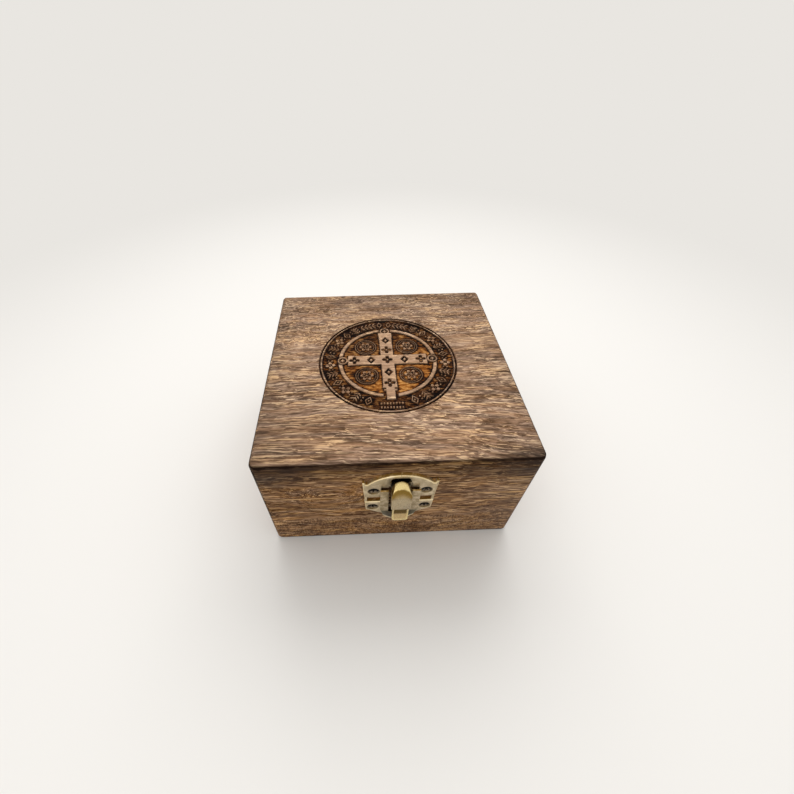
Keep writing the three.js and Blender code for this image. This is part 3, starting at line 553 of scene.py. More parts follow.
def polished_lever(name, glow, shadow, face, lip):
    """The lever's plating: a painted highlight on its crown, painted shade under it, dull on its face."""
    material, tree, shader = new_material(name)
    x, y, z = axes(tree)
    aside = from_middle(tree, x)
    bow = add(tree, "ShaderNodeMath", aside, aside, operation="MULTIPLY")
    stains = patches(tree, millimetres(tree), (1.8, 1.8, 1.8), 3.0, 0.6)
    height = add(tree, "ShaderNodeMath", stains, 1.2, z, operation="MULTIPLY_ADD")
    arched = add(tree, "ShaderNodeMath", bow, 0.17, height, operation="MULTIPLY_ADD")
    # The rims and the lower end are worn, with a painted highlight on them
    rim = add(tree, "ShaderNodeMapRange", aside, *LEVER_RIM, **EASE)
    end = add(tree, "ShaderNodeMapRange", z, *LEVER_END, **EASE)
    worn = add(tree, "ShaderNodeMath", rim, end, operation="MAXIMUM")
    lower = add(tree, "ShaderNodeMix", {0: worn, 6: lip, 7: glow}, **BLEND)
    lower = laid(tree, lower, face, z, *LIP_STEP)
    # A painted highlight on the crown, which looks up, and painted shade in the hollow below it
    crown = laid(tree, shadow, glow, arched, *CROWN_HIGHLIGHT)
    colour = laid(tree, lower, crown, arched, *HOLLOW_SHADE)
    # Painted shade on the crown's sides, which look sideways
    sideways, backward, _ = looking(tree)
    sideways = add(tree, "ShaderNodeMath", sideways, operation="ABSOLUTE")
    flank_shade = add(tree, "ShaderNodeMath", z, sideways, operation="MULTIPLY")
    colour = laid(tree, colour, "5f4818", flank_shade, 22.0, 38.0)
    # A painted shadow, with some grime, darkens the hollow of the lip under the step
    inner = add(tree, "ShaderNodeMapRange", y, *LIP_SHADOW, **EASE)
    colour = laid(tree, colour, "604a1a", z, 37.5, 36.5, inner)
    # A painted shadow makes it black behind the crown, in the keeper's opening, and dulls its sheen
    inwards = add(tree, "ShaderNodeMath", aside, 0.25, y, operation="MULTIPLY_ADD")
    behind = add(tree, "ShaderNodeMapRange", inwards, *SHADOW_BEHIND_CROWN, **EASE)
    behind = add(tree, "ShaderNodeMapRange", backward, 0.8, 0.6, 0.0, behind, **EASE)
    colour = add(tree, "ShaderNodeMix", {0: behind, 6: colour, 7: "0c0804"}, **BLEND)
    tree.links.new(colour, shader.inputs["Base Color"])
    bare = add(tree, "ShaderNodeMapRange", behind, 0.0, 1.0, 0.8, 1.0, **EASE)
    tree.links.new(bare, shader.inputs["Metallic"])
    rough = add(tree, "ShaderNodeMath", stains, 0.2, 0.18, operation="MULTIPLY_ADD")
    tree.links.new(rough, shader.inputs["Roughness"])
    return material


def make_materials():
    """Every finish of the box, by the name that the pieces ask for."""
    return {
        # Front and back boards: waxed carbonised wood, whose scorched lines swirl round two knots
        "front_wood": carbonised_wood("carbonised_wood_front", (FRONT_KNOT, LOW_KNOT)),
        # Side boards: the same wood, with its lines running from front to back
        "side_wood": carbonised_wood("carbonised_wood_sides", (SIDE_KNOT,), math.pi / 2),
        # Top board: paler and greyer than the walls, so that the engraving's burnt floor stands out
        "top_wood": engraved_wood("carbonised_wood_engraved"),
        # Floor board: the same wood from another place in the plank, so its lines differ
        "floor_wood": carbonised_wood("carbonised_wood_floor", shift=(7.0, 60.0, 0.0)),
        # Zinc castings plated in antique brass: a dull beige skin with brown stains. Faces that look
        # up have a painted gold reflection with painted glints, and painted shade and shadow lie under
        # the housing and round the screws
        "latch_plate": plated_metal(
            "antique_brass_plate", "d3c0a0", "8a744a", 0.65, 0.4, 0.85, latch_shading
        ),
        # Their edges are rubbed bright, so a pale line runs round every plate
        "latch_edge": plated_metal("antique_brass_rubbed", "fbe8bc", "d8ba7c", 0.5, 0.3, 0.5),
        # The lever is polished after plating, so it shines and mirrors the room. Its crown has a
        # painted highlight, and painted shade lies in the hollow under it, on its sides and behind it
        "lever": polished_lever("antique_brass_polished", "f8e09e", "86692c", "c6b28c", "cdb07e"),
        # The lever's edges are worn through to clear gold
        "lever_edge": plated_metal("antique_brass_polished_rubbed", "fae4ae", "d8b66e", 0.95, 0.18, 0.3),
        # Steel screws plated in dark bronze: dull brown heads that are worn a little
        "screw": plated_metal("bronzed_steel", "a8967f", "5d4e3f", 0.45, 0.42, 0.8),
        # The latch's screws have grime round their heads and in their recesses, with a painted black
        # shadow over the tops of their heads and painted shade deep in the recesses
        "latch_screw": plated_metal(
            "bronzed_steel_shaded_grimy", "b09e86", "5d4e3f", 0.4, 0.42, 0.8, head_shading
        ),
        # Turned pins, bronzed like the screws: dark and smoother, with a soft gleam
        "pin": plated_metal("bronzed_steel_turned", "5d4f40", "2c231a", 0.9, 0.3, 0.6),
        # Hard-drawn spring wire: bare grey steel with a bright line along each turn
        "spring": plated_metal("drawn_spring_steel", "98958f", "5f5c57", 1.0, 0.28, 0.3),
    }


# Shapes made from the solids


def welded(node):
    """A node's shape with its corners joined and its flat faces whole."""
    shape = bmesh.new()
    shape.from_mesh(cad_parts[node].data)
    bmesh.ops.remove_doubles(shape, verts=shape.verts, dist=0.002 * MM)
    bmesh.ops.dissolve_limit(
        shape, angle_limit=math.radians(0.6), verts=shape.verts, edges=shape.edges
    )
    return shape


def object_from(name, mesh, materials):
    """A new object in the scene, with its mesh and the materials on it."""
    made = bpy.data.objects.new(name, mesh)
    bpy.context.scene.collection.objects.link(made)
    mesh.materials.clear()
    for material in materials:
        mesh.materials.append(material)
    return made


def settle(made):
    """Turns an object's modifiers into plain mesh."""
    bpy.context.view_layer.update()
    graph = bpy.context.evaluated_depsgraph_get()
    mesh = bpy.data.meshes.new_from_object(made.evaluated_get(graph))
    made.modifiers.clear()
    made.data = mesh
    return made


def dress(made, body, slot, *nodes):
    """Lets a piece ride on its body and stand for its nodes."""
    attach(made, body)
    if nodes:
        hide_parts(*nodes)
    return made


# The crown of the lever's hook: where its rounding starts, the height over which it grows, its
# width, the number of cuts across it, and its fall at 1 mm from the middle
CROWN_START = 45.9
CROWN_HEIGHT = 2.7
CROWN_WIDTH = 4.2
CROWN_CUTS = 7
CROWN_FALL = 0.13


def faces_above(shape, height):
    """The faces that lie wholly above a height in millimetres."""
    return [f for f in shape.faces if min(v.co.z for v in f.verts) > height * MM]


def arched_crown(shape):
    """Rounds the top of the lever's hook from side to side, as the casting is."""
    faces = faces_above(shape, CROWN_START)
    for i in range(CROWN_CUTS):
        geometry = [*faces, *{e for f in faces for e in f.edges}, *{v for f in faces for v in f.verts}]
        middle = (LATCH_X + (i / (CROWN_CUTS - 1) - 0.5) * CROWN_WIDTH) * MM
        cut = {"geom": geometry, "plane_co": (middle, 0, 0), "plane_no": (1, 0, 0), "dist": 1e-7}
        bmesh.ops.bisect_plane(shape, **cut)
        faces = faces_above(shape, CROWN_START - 0.01)
    for corner in shape.verts:
        share = min(max((corner.co.z / MM - CROWN_START) / CROWN_HEIGHT, 0.0), 1.0)
        aside = corner.co.x / MM - LATCH_X
        corner.co.z -= CROWN_FALL * aside * aside * share * MM


def at_screw(place):
    """Whether a place on the latch is in the seat of a screw."""
    aside, up = abs(place.x / MM - LATCH_X), place.z / MM
    return any(math.dist((aside, up), screw) < SEAT_RADIUS for screw in (KEEPER_SCREW, PLATE_SCREW))


# A casting's chamfers are small faces, in square millimetres, that look partly forward
CHAMFER_AREA = 6.0
CHAMFER_FACING = (0.3, 0.93)


def eased(name, node, materials, width, segments, sharp=35.0, reshape=None):
    """A node's shape with its sharp edges rounded by a width in millimetres.

    Where there are two materials, the second goes on the rounded edges, and on a casting's
    chamfers.
    """
    shape = welded(node)
    if reshape:
        reshape(shape)
    mesh = bpy.data.meshes.new(name)
    shape.to_mesh(mesh)
    shape.free()
    made = object_from(name, mesh, materials)
    bevel = made.modifiers.new("eased_edges", "BEVEL")
    bevel.limit_method = "ANGLE"
    bevel.angle_limit = math.radians(sharp)
    bevel.width = width * MM
    bevel.segments = segments
    bevel.miter_outer = "MITER_ARC"
    bevel.use_clamp_overlap = True
    bevel.material = len(materials) - 1
    settle(made)
    if len(materials) > 1 and not reshape:
        low, high = CHAMFER_FACING
        for face in made.data.polygons:
            slanted = low < abs(face.normal.y) < high and face.area < CHAMFER_AREA * MM * MM
            if slanted and not at_screw(face.center):
                face.material_index = 1
    made.data.shade_smooth()
    made.data.set_sharp_from_angle(angle=math.radians(sharp))
    return made


# The engraving on the lid: signed distances in millimetres, below 0 where the wood is left standing

ROUNDEL_X, ROUNDEL_Y = -0.1, -0.2
ROUNDEL_RADIUS = 29.0
ROUNDEL_MARGIN = 0.2
ROUNDEL_CELLS = 300
CUT_DEPTH = 0.5
WALL_WIDTH = 0.24

# The laser's passes are about 0.1 mm apart, and are drawn five times as coarse so that they show
PASS_PITCH = 0.55
PASS_DEPTH = 0.02

# The ringed discs at the ends of the cross
DISC_PLACES = ((-18.9, 0.4), (19.0, 0.4), (0.0, 19.4))
DISC_GAP = 2.65

# The band's ornaments: their circle, the first one's angle, the step and how many on each side
BAND_RADIUS = 24.1
BAND_FIRST = 32.5
BAND_STEP = 12.6
BAND_COUNT = 11


def ring(radius, middle, half_width):
    """A ring round the middle of a radius."""
    return np.abs(radius - middle) - half_width


def bar(x, y, half_x, half_y):
    """A rectangle."""
    return np.maximum(np.abs(x) - half_x, np.abs(y) - half_y)


def lozenge(x, y, half_x, half_y):
    """A diamond on its point."""
    return (np.abs(x) / half_x + np.abs(y) / half_y - 1) * min(half_x, half_y) * 0.8


def flower(x, y, petals, reach, core):
    """Petals from a core out to their reach."""
    angle = np.arctan2(y, x)
    return np.hypot(x, y) - core - (reach - core) * np.abs(np.cos(angle * petals / 2)) ** 0.7


def leaf(x, y, lean, length, width):
    """A narrow ellipse that leans by an angle."""
    along = x * math.cos(lean) + y * math.sin(lean)
    across = y * math.cos(lean) - x * math.sin(lean)
    return (np.hypot(along / length, across / width) - 1) * width


def join(*shapes):
    """All of the shapes together."""
    return np.minimum.reduce(shapes)


def cut_out(shape, *marks):
    """A shape without the marks that are cut into it."""
    for mark in marks:
        shape = np.maximum(shape, -mark)
    return shape


def cross_marks(x, y):
    """Lozenges and four-petal flowers cut into the cross's arms."""
    places = [(-13.9, 0.35), (-6.9, 0.35), (0, 0.35), (7.2, 0.35), (14.1, 0.35)]
    places += [(0, 12.9), (0, 6.6), (0, -7.1), (0, -13.2)]
    marks = []
    for i, (px, py) in enumerate(places):
        mx, my = x - px, y - py
        if i % 2:
            marks.append(cut_out(lozenge(mx, my, 1.8, 2.3), lozenge(mx, my, 0.6, 0.8)))
        else:
            marks.append(cut_out(flower(mx, my, 4, 2.25, 0.6), np.hypot(mx, my) - 0.4))
    return marks


def cross(x, y):
    """The cross with its flared arms, collar and foot."""
    flare = 0.35 * np.clip((np.maximum(np.abs(x), np.abs(y)) - 13) / 4, 0, 1)
    upright = bar(x, y - 1.05, 2.7 + flare, 16.95)
    level = bar(x, y - 0.35, 16.6, 2.75 + flare)
    foot = bar(x, y + 18.9, 1.7, 3.1)
    collar = bar(x, y + 17.0, 2.6, 0.45)
    return cut_out(join(upright, level, foot, collar), *cross_marks(x, y))


def end_disc(x, y, px, py):
    """A ringed disc at an end of the cross, with a small flower in it."""
    radius = np.hypot(x - px, y - py)
    return join(ring(radius, 1.85, 0.32), flower(x - px, y - py, 4, 0.85, 0.2))


def quarter_circle(x, y, px, py):
    """The circle in a quarter of the field: two thin rings round a six-petal flower."""
    radius = np.hypot(x - px, y - py)
    rings = join(ring(radius, 4.5, 0.1), ring(radius, 3.6, 0.06))
    petals = flower(x - px, y - py, 6, 2.7, 0.7)
    inner = flower(x - px, y - py, 6, 1.8, 0.2)
    return join(rings, cut_out(petals, inner), radius - 0.4)


def sprig(along, up):
    """A stem with three pairs of leaves."""
    leaves = [
        leaf(along - side * 0.8, up - rise, side * 0.75, 1.0, 0.27)
        for side in (-1, 1)
        for rise in (1.4, 0.0, -1.4)
    ]
    return join(bar(along, up, 0.15, 2.3), *leaves)


def laurel(along, up):
    """A short branch along the band, its leaves leaning both ways."""
    leaves = [
        leaf(along - step, up - side * 1.05, side * 0.8, 1.15, 0.3)
        for step in (-2.7, -0.9, 0.9, 2.7)
        for side in (-1, 1)
    ]
    return join(bar(along, up, 3.6, 0.15), *leaves)


def band(x, y):
    """Ornaments round the outer band, a pair of dots between each two."""
    radius = np.hypot(x, y)
    angle = np.degrees(np.arctan2(x, y))
    up = radius - BAND_RADIUS

    def along(middle):
        return np.radians((angle - middle + 180) % 360 - 180) * BAND_RADIUS

    shapes = [laurel(along(side * 17.5), up) for side in (-1, 1)]
    shapes += [cut_out(lozenge(along(m), up, 1.3, 2.0), lozenge(along(m), up, 0.75, 1.2)) for m in (-5, 5)]
    for side in (-1, 1):
        for i in range(BAND_COUNT):
            middle = side * (BAND_FIRST + i * BAND_STEP)
            u = along(middle)
            far = np.hypot(u, up)
            if i % 3 == 0:
                shapes.append(sprig(u, up))
            elif i % 3 == 1:
                shapes.append(cut_out(lozenge(u, up, 1.5, 2.3), lozenge(u, up, 1.0, 1.6)))
                shapes.append(lozenge(u, up, 0.4, 0.6))
            else:
                shapes.append(join(cut_out(flower(u, up, 4, 2.1, 0.45), far - 0.7), far - 0.28))
            if i < BAND_COUNT - 1:
                dots = along(middle + side * BAND_STEP / 2)
                shapes += [np.hypot(dots, up - rise) - 0.36 for rise in (-0.75, 0.75)]
    return join(*shapes)


def beads(x, y):
    """Two rows of eight small beads under the cross's foot."""
    places = [((i - 3.5) * 1.15, row) for row in (-23.9, -25.9) for i in range(8)]
    return join(*(bar(x - px, y - py, 0.34, 0.5) for px, py in places))


def engraving(x, y):
    """The whole design: how far each point is from wood that is left standing."""
    radius = np.hypot(x, y)
    rim = ring(radius, 27.85, 0.33)
    inner = cut_out(ring(radius, 19.9, 0.72), bar(x, y + 20, 2.9, 4.0))
    inner = cut_out(inner, *(np.hypot(x - px, y - py) - DISC_GAP for px, py in DISC_PLACES))
    quarters = [quarter_circle(x, y, sx * 9.0, sy * 8.8) for sx in (-1, 1) for sy in (-1, 1)]
    ends = [end_disc(x, y, *place) for place in DISC_PLACES]
    foot_gap = bar(x, y + 20, 4.6, 5.2)
    outer = cut_out(band(x, y), foot_gap)
    outside = ROUNDEL_RADIUS - 0.15 - radius
    return join(outside, rim, inner, outer, beads(x, y), cross(x, y), *quarters, *ends)


def roundel_grid():
    """A square of cells drawn out to a disc: its points, faces and rim, in millimetres."""
    count = ROUNDEL_CELLS
    steps = np.linspace(-1, 1, count + 1)
    u, v = np.meshgrid(steps, steps)
    reach = ROUNDEL_RADIUS + ROUNDEL_MARGIN
    x = reach * u * np.sqrt(1 - v * v / 2)
    y = reach * v * np.sqrt(1 - u * u / 2)
    index = np.arange((count + 1) ** 2).reshape(count + 1, count + 1)
    faces = np.stack([index[:-1, :-1], index[:-1, 1:], index[1:, 1:], index[1:, :-1]], -1)
    rim = [*index[0, :-1], *index[:-1, -1], *index[-1, :0:-1], *index[:0:-1, 0]]
    return x.ravel(), y.ravel(), faces.reshape(-1, 4), [int(i) for i in rim]


def relief(x, y):
    """Height below the top face, and the attributes that the wood's material reads."""
    # The burnt edges wander a little
    wander = 0.05 * np.sin(3.1 * x + 1.7 * y) + 0.04 * np.sin(7.3 * x - 5.9 * y + 1)
    far = engraving(x + wander, y + wander * 0.7)
    cut = np.clip(0.5 + far / WALL_WIDTH, 0, 1)
    cut = cut * cut * (3 - 2 * cut)
    radius = np.hypot(x, y)
    passes = PASS_DEPTH * np.sin(y * 2 * math.pi / PASS_PITCH)
    height = -(CUT_DEPTH + passes) * cut
    wall = np.exp(-np.clip(far, 0, 9) / 0.45) * cut
    # The small ornaments are scorched darker than the cross and the rings
    arms = join(bar(x, y - 1.05, 3.1, 17), bar(x, y - 0.35, 17, 3.1), bar(x, y + 18.9, 1.8, 3.2))
    off_cross = np.clip(0.5 + arms / 0.4, 0, 1)
    quarter = (radius < 18.8) * (0.42 - 0.006 * y)
    in_band = (radius > 21) & (radius < 27.2)
    land = (quarter + 0.35 * in_band) * off_cross
    clean = 0.42 * (radius < 20.8) * (1 - np.clip((radius - 19.0) / 0.2, 0, 1) * 0.4)
    gold = np.clip((19.4 - radius) / 0.5, 0, 1) * np.clip(0.6 - 0.03 * y + 0.018 * x, 0.1, 1)
    gold = np.maximum(gold, 0.55 * np.clip(1.2 - np.abs(y + 3) / 11, 0, 1))
    gold = gold * np.clip((far - 0.2) / 0.7, 0, 1) * off_cross
    return height, {"cut": cut, "wall": wall, "land": land, "gold": gold, "clean": clean}


def engraved_lid(materials):
    """The top board, with its top face opened for the roundel's fine grid."""
    x, y, faces, rim = roundel_grid()
    height, values = relief(x, y)
    top = BOX_TOP * MM
    shape = welded("lid_panel")
    for edge in shape.edges:
        edge.smooth = edge.calc_face_angle() < math.radians(40)
    crown = [f for f in shape.faces if f.normal.z > 0.999]
    bmesh.ops.inset_region(shape, faces=crown, thickness=0.3 * MM, depth=0)
    border = list({e for f in crown for e in f.edges if sum(g in crown for g in e.link_faces) == 1})
    bmesh.ops.delete(shape, geom=crown, context="FACES_ONLY")
    layers = [shape.verts.layers.float.new(name) for name in values]
    corners = []
    for px, py, pz, *amounts in zip(x, y, height, *values.values()):
        corner = shape.verts.new(((px + ROUNDEL_X) * MM, (py + ROUNDEL_Y) * MM, top + pz * MM))
        for layer, amount in zip(layers, amounts):
            corner[layer] = amount
        corners.append(corner)
    for face in faces:
        shape.faces.new([corners[i] for i in face])
    around = [shape.edges.get((corners[rim[i - 1]], corners[rim[i]])) for i in range(len(rim))]
    border = [e for e in border if e.is_valid]
    filled = bmesh.ops.triangle_fill(shape, edges=border + around, use_beauty=True)
    for item in filled["geom"]:
        if isinstance(item, bmesh.types.BMFace) and item.normal.z < 0:
            item.normal_flip()
    mesh = bpy.data.meshes.new("lid_top_board")
    shape.to_mesh(mesh)
    shape.free()
    made = object_from("lid_top_board", mesh, [materials["top_wood"]])
    mesh.polygons.foreach_set("use_smooth", [True] * len(mesh.polygons))
    return made


# Screws: one tree for every countersunk cross-head screw


def screw_tree():
    """A cross-head screw at each point: a domed head on a cone, a stem and a tip."""
    tree = bpy.data.node_groups.new("countersunk_screws", "GeometryNodeTree")
    sockets = [
        ("Places", "NodeSocketGeometry"),
        ("Head Radius", "NodeSocketFloat"),
        ("Shank Radius", "NodeSocketFloat"),
        ("Length", "NodeSocketFloat"),
        ("Dome", "NodeSocketFloat"),
        ("Recess Reach", "NodeSocketFloat"),
        ("Recess Width", "NodeSocketFloat"),
        ("Recess Depth", "NodeSocketFloat"),
        ("Facing", "NodeSocketFloat"),
        ("Seed", "NodeSocketInt"),
        ("Finish", "NodeSocketMaterial"),
    ]
    for name, kind in sockets:
        tree.interface.new_socket(name, in_out="INPUT", socket_type=kind)
    tree.interface.new_socket("Screws", in_out="OUTPUT", socket_type="NodeSocketGeometry")
    given = add(tree, "NodeGroupInput").node.outputs

    def moved(geometry, length, share):
        """The geometry moved along the screw's axis by a share of a length."""
        rise = add(tree, "ShaderNodeMath", length, share, operation="MULTIPLY")
        rise = add(tree, "ShaderNodeCombineXYZ", 0.0, 0.0, rise)
        return add(tree, "GeometryNodeTransform", {0: geometry, "Translation": rise})

    head, shank, length = given["Head Radius"], given["Shank Radius"], given["Length"]
    taper = add(tree, "ShaderNodeMath", head, shank, operation="SUBTRACT")
    sizes = {"Vertices": 40, "Radius Top": head, "Radius Bottom": shank, "Depth": taper}
    cone = moved(add(tree, "GeometryNodeMeshCone", sizes), taper, -1.0)
    sizes = {"Segments": 40, "Rings": 16, "Radius": 1.0}
    ball = add(tree, "GeometryNodeMeshUVSphere", sizes)
    flat = add(tree, "ShaderNodeCombineXYZ", head, head, given["Dome"])
    dome = add(tree, "GeometryNodeTransform", {0: ball, "Scale": flat})
    stem_length = add(tree, "ShaderNodeMath", length, 0.75, operation="MULTIPLY")
    sizes = {"Vertices": 32, "Radius": shank, "Depth": stem_length}
    stem = moved(add(tree, "GeometryNodeMeshCylinder", sizes), stem_length, -0.55)
    tip_length = add(tree, "ShaderNodeMath", length, 0.25, operation="MULTIPLY")
    sizes = {"Vertices": 32, "Radius Top": shank, "Radius Bottom": 0.0, "Depth": tip_length}
    tip = moved(add(tree, "GeometryNodeMeshCone", sizes), length, -1.0)
    solid = add(tree, "GeometryNodeMeshBoolean", operation="UNION", solver="EXACT")
    for part in (cone, dome, stem, tip):
        tree.links.new(part, solid.node.inputs["Mesh 2"])
    reach, width, depth = (given[f"Recess {word}"] for word in ("Reach", "Width", "Depth"))
    recess = add(tree, "GeometryNodeMeshBoolean", {"Mesh 1": solid}, operation="DIFFERENCE", solver="EXACT")
    for sides in ((reach, width, depth), (width, reach, depth)):
        size = add(tree, "ShaderNodeCombineXYZ", *sides)
        arm = moved(add(tree, "GeometryNodeMeshCube", {"Size": size}), given["Dome"], 1.0)
        tree.links.new(arm, recess.node.inputs["Mesh 2"])
    turns = {2: -math.pi, 3: math.pi, "Seed": given["Seed"]}
    spin = add(tree, "FunctionNodeRandomValue", turns, out=1, data_type="FLOAT")
    facing = add(tree, "ShaderNodeCombineXYZ", given["Facing"])
    set_in = {"Points": given["Places"], "Instance": recess, "Rotation": facing}
    placed = add(tree, "GeometryNodeInstanceOnPoints", set_in)
    spin = add(tree, "ShaderNodeCombineXYZ", 0.0, 0.0, spin)
    turned_in = {"Instances": placed, "Rotation": spin, "Local Space": True}
    turned = add(tree, "GeometryNodeRotateInstances", turned_in)
    real = add(tree, "GeometryNodeRealizeInstances", turned)
    finish = {"Geometry": real, "Material": given["Finish"]}
    finished = add(tree, "GeometryNodeSetMaterial", finish)
    out = tree.nodes.new("NodeGroupOutput")
    tree.links.new(finished, out.inputs["Screws"])
    return tree


LATCH_SCREW = {
    "Head Radius": 1.75 * MM,
    "Shank Radius": 0.9 * MM,
    "Length": 6.0 * MM,
    "Dome": 0.3 * MM,
    "Recess Reach": 2.5 * MM,
    "Recess Width": 0.62 * MM,
    "Recess Depth": 1.5 * MM,
}
HINGE_SCREW = {
    "Head Radius": 1.4 * MM,
    "Shank Radius": 0.75 * MM,
    "Length": 6.0 * MM,
    "Dome": 0.3 * MM,
    "Recess Reach": 1.8 * MM,
    "Recess Width": 0.34 * MM,
    "Recess Depth": 1.3 * MM,
}


def screws(name, tree, places, sizes, facing, seed, material):
    """Screws at places in millimetres, turned to face the front (1) or the back (-1)."""
    points = bpy.data.meshes.new(name)
    points.from_pydata([[c * MM for c in place] for place in places], [], [])
    made = object_from(name, points, [])
    modifier = made.modifiers.new("screws", "NODES")
    modifier.node_group = tree
    values = {**sizes, "Facing": facing * math.pi / 2, "Seed": seed, "Finish": material}
    for item in tree.interface.items_tree:
        if item.in_out == "INPUT" and item.name in values:
            modifier[item.identifier] = values[item.name]
    settle(made)
    made.data.shade_smooth()
    made.data.set_sharp_from_angle(angle=math.radians(32))
    return made


def hinge_screws(body):
    """The nodes of the four screws that hold the hinges' leaves to a body."""
    return [f"hinge_{side}_{body}_screw_{number}" for side in ("left", "right") for number in (1, 2)]


def all_screws(materials):
    """The latch's screws in front, and the hinges' smaller ones at the back."""
    tree = screw_tree()
    face = -BOX_HALF - LATCH_HEADS_OUT
    keeper, plate = (
        [(LATCH_X + side * out, face, z) for side in (-1, 1)]
        for out, z in (KEEPER_SCREW, PLATE_SCREW)
    )
    back = BOX_HALF + HINGE_HEADS_OUT
    aside = [sign * HINGE_X + side * HINGE_SCREW_ASIDE for sign in (-1, 1) for side in (-1, 1)]
    upper = [(x, back, SEAM + HINGE_SCREW_RISE) for x in aside]
    lower = [(x, back, SEAM - HINGE_SCREW_RISE) for x in aside]
    rows = [
        ("keeper_screws", keeper, LATCH_SCREW, 1, 4, "lid", ["keeper_screw_left", "keeper_screw_right"]),
        ("latch_screws", plate, LATCH_SCREW, 1, 9, "base", ["latch_screw_left", "latch_screw_right"]),
        ("lid_hinge_screws", upper, HINGE_SCREW, -1, 2, "lid", hinge_screws("lid")),
        ("base_hinge_screws", lower, HINGE_SCREW, -1, 6, "base", hinge_screws("base")),
    ]
    for name, places, sizes, facing, seed, body, nodes in rows:
        finish = materials["latch_screw" if facing == 1 else "screw"]
        dress(screws(name, tree, places, sizes, facing, seed, finish), body, "screws", *nodes)


# The torsion spring: one round wire with a leg at each end


def spring_wire(material):
    """The coil round the latch's pin, with a leg towards the plate and one behind the lever."""
    pitch, turns, wire, steps = 0.62, 4, 0.4, 24
    coil = PIN_RADIUS + 0.15 + wire
    length = turns * pitch
    points = [(-length / 2, coil, 2.8), (-length / 2, coil, 1.4)]
    for i in range(int((turns + 0.5) * steps) + 1):
        angle = i / steps * 2 * math.pi
        along = -length / 2 + length * i / ((turns + 0.5) * steps)
        points.append((along, coil * math.cos(angle), -coil * math.sin(angle)))
    points += [(length / 2, -coil, 1.15), (length / 2, -coil, 2.3)]
    curve = bpy.data.curves.new("latch_spring_wire", "CURVE")
    curve.dimensions = "3D"
    curve.bevel_depth = wire / 2 * MM
    curve.bevel_resolution = 4
    curve.use_fill_caps = True
    line = curve.splines.new("POLY")
    line.points.add(len(points) - 1)
    for spot, (x, y, z) in zip(line.points, points):
        spot.co = ((LATCH_X + x) * MM, (y - BOX_HALF - PIVOT_OUT) * MM, (PIVOT_Z + z) * MM, 1)
    drawn = bpy.data.objects.new("spring_line", curve)
    bpy.context.scene.collection.objects.link(drawn)
    bpy.context.view_layer.update()
    mesh = bpy.data.meshes.new_from_object(drawn.evaluated_get(bpy.context.evaluated_depsgraph_get()))
    bpy.data.objects.remove(drawn)
    made = object_from("latch_spring_wire", mesh, [material])
    mesh.shade_smooth()
    return made


# Putting the box together

# How far edges are eased, in millimetres
BOARD_EDGE = 0.28
FLOOR_EDGE = 0.15
PLATE_EDGE = 0.1
LEAF_EDGE = 0.08
LEVER_EDGE = 0.2
LATCH_PIN_EDGE = 0.08
HINGE_PIN_EDGE = 0.12


def dress_box(materials):
    """The boards of the base and the lid."""
    boards = {
        "front": materials["front_wood"],
        "back": materials["front_wood"],
        "left": materials["side_wood"],
        "right": materials["side_wood"],
    }
    for body in ("base", "lid"):
        for side, material in boards.items():
            node = f"{body}_{side}"
            made = eased(f"{node}_board", node, [material], BOARD_EDGE, 3)
            dress(made, body, f"{body}_wood", node)
    floor = eased("base_floor_board", "base_floor", [materials["floor_wood"]], FLOOR_EDGE, 2)
    dress(floor, "base", "base_wood", "base_floor")
    dress(engraved_lid(materials), "lid", "lid_wood", "lid_panel")


def dress_latch(materials):
    """The two plates, the lever, its pin and its spring."""
    plate = [materials["latch_plate"], materials["latch_edge"]]
    keeper = eased("latch_keeper_plate", "latch_keeper", plate, PLATE_EDGE, 2, 28.0)
    dress(keeper, "lid", "latch_brass", "latch_keeper")
    lower = eased("latch_lower_plate", "latch_plate", plate, PLATE_EDGE, 2, 28.0)
    dress(lower, "base", "latch_brass", "latch_plate")
    polished = [materials["lever"], materials["lever_edge"]]
    lever = eased("latch_rocking_lever", "latch_lever", polished, LEVER_EDGE, 3, 24.0, arched_crown)
    dress(lever, "lever", "lever_brass", "latch_lever")
    pin = eased("latch_pin_rod", "latch_pin", [materials["pin"]], LATCH_PIN_EDGE, 2)
    dress(pin, "base", "screws", "latch_pin")
    dress(spring_wire(materials["spring"]), "lever", "spring_steel", "latch_spring")


def dress_hinges(materials):
    """The leaves and pins at the back, cast and plated like the latch."""
    brass = [materials["latch_plate"], materials["latch_edge"]]
    for side in ("left", "right"):
        for body in ("lid", "base"):
            node = f"hinge_{side}_{body}_leaf"
            dress(eased(f"{node}_plate", node, brass, LEAF_EDGE, 2), body, "latch_brass", node)
        node = f"hinge_{side}_pin"
        rod = eased(f"{node}_rod", node, [materials["pin"]], HINGE_PIN_EDGE, 3)
        dress(rod, "base", "screws", node)


# Floor, lights and camera

PALE = "e9e6e1"
WINDOW_WAY = (0.05, 0.72, 0.69)


def seen_directly(tree):
    """1 for a ray from the camera, or one that a shiny or clear surface sends on."""
    rays = add(tree, "ShaderNodeLightPath").node.outputs
    bounced = (rays["Is Glossy Ray"], rays["Is Transmission Ray"])
    bounced = add(tree, "ShaderNodeMath", *bounced, operation="MAXIMUM")
    return add(tree, "ShaderNodeMath", rays["Is Camera Ray"], bounced, operation="MAXIMUM")


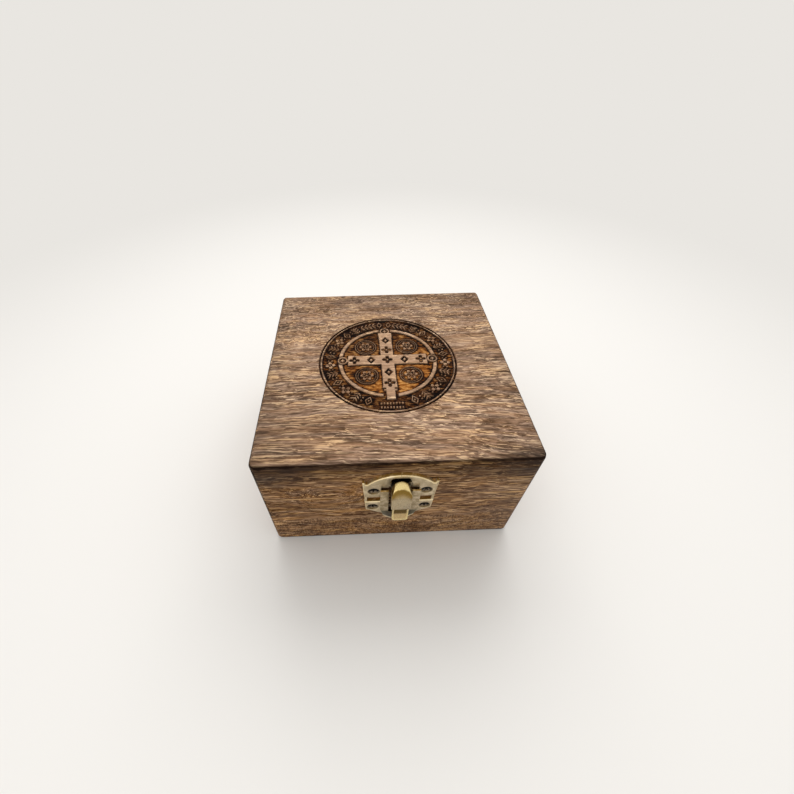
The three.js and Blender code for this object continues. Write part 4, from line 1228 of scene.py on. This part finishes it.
def plain_stage():
    """A pale floor. Away from the box its plain colour is seen, so that it has no end."""
    mesh = bpy.data.meshes.new("studio_floor")
    reach = 30.0
    corners = [(-reach, -reach, 0), (reach, -reach, 0), (reach, reach, 0), (-reach, reach, 0)]
    mesh.from_pydata(corners, [], [(0, 1, 2, 3)])
    # Matt paper: pale and even, with a soft shadow under the box
    material, tree, shader = new_material("pale_floor")
    shader.inputs["Base Color"].default_value = linear(PALE)
    shader.inputs["Roughness"].default_value = 0.9
    shader.inputs["Specular IOR Level"].default_value = 0.2
    place = add(tree, "ShaderNodeTexCoord", out="Object")
    far = add(tree, "ShaderNodeVectorMath", place, out="Value", operation="LENGTH")
    plain = add(tree, "ShaderNodeMapRange", far, 0.1, 0.4, 0.0, seen_directly(tree), **EASE)
    glow = add(tree, "ShaderNodeEmission", PALE, 1.0)
    both = add(tree, "ShaderNodeMixShader", plain, shader.outputs[0], glow)
    tree.links.new(both, tree.nodes["Material Output"].inputs["Surface"])
    floor = object_from("studio_floor", mesh, [material])


def soft_world():
    """A room with its window behind the box: bright behind and above, dim in front."""
    world = bpy.data.worlds.new("studio")
    world.use_nodes = True
    bpy.context.scene.world = world
    tree = world.node_tree
    background = tree.nodes["Background"]
    seen = seen_directly(tree)
    direction = add(tree, "ShaderNodeTexCoord", out="Generated")
    towards = {0: direction, 1: WINDOW_WAY}
    towards = add(tree, "ShaderNodeVectorMath", towards, out="Value", operation="DOT_PRODUCT")
    room = add(tree, "ShaderNodeMapRange", towards, -0.5, 0.9, 0.25, 1.05, **EASE)
    strength = add(tree, "ShaderNodeMix", {0: seen, 2: room, 3: 1.0}, data_type="FLOAT")
    tint = add(tree, "ShaderNodeMix", {0: seen, 6: "ffffff", 7: PALE}, **BLEND)
    tree.links.new(tint, background.inputs["Color"])
    tree.links.new(strength, background.inputs["Strength"])


def soft_lamp(name, place, aim, size, power):
    """A white lamp of a width and height in metres and a power in watts."""
    light = bpy.data.lights.new(name, "AREA")
    light.shape = "RECTANGLE"
    light.size, light.size_y = size
    light.energy = power
    lamp = bpy.data.objects.new(name, light)
    lamp.location = place
    lamp.rotation_euler = (Vector(aim) - Vector(place)).to_track_quat("-Z", "Y").to_euler()
    bpy.context.scene.collection.objects.link(lamp)


def photo_camera():
    """The photograph's view: a wide lens, 45 degrees down, a hand's breadth in front of the box.

    The numbers were fitted to the box's edges in the photograph.
    """
    camera = bpy.data.cameras.new("photo_view")
    camera.sensor_width = 36.0
    camera.lens = 16.99
    camera.shift_x = 0.0391
    camera.shift_y = -0.0263
    camera.clip_start = 0.005
    camera.clip_end = 100.0
    eye = bpy.data.objects.new("photo_view", camera)
    right = Vector((0.99938, -0.03363, -0.01035))
    up = Vector((0.03115, 0.70894, 0.70458))
    back = Vector((-0.01636, -0.70447, 0.70955))
    turn = Matrix((right, up, back)).transposed().to_quaternion().to_matrix().to_4x4()
    eye.matrix_world = Matrix.Translation((-0.01198, -0.11607, 0.16438)) @ turn
    bpy.context.scene.collection.objects.link(eye)
    bpy.context.scene.camera = eye


materials = make_materials()
dress_box(materials)
dress_latch(materials)
dress_hinges(materials)
all_screws(materials)
plain_stage()
soft_world()
soft_lamp("window_behind", (0.1, 0.85, 0.95), (0, 0, 0.03), (1.3, 0.9), 9.0)
soft_lamp("front_fill", (-0.5, -0.9, 0.7), (0, 0, 0.03), (1.0, 1.0), 2.0)
photo_camera()
bpy.context.scene.view_settings.view_transform = "Standard"
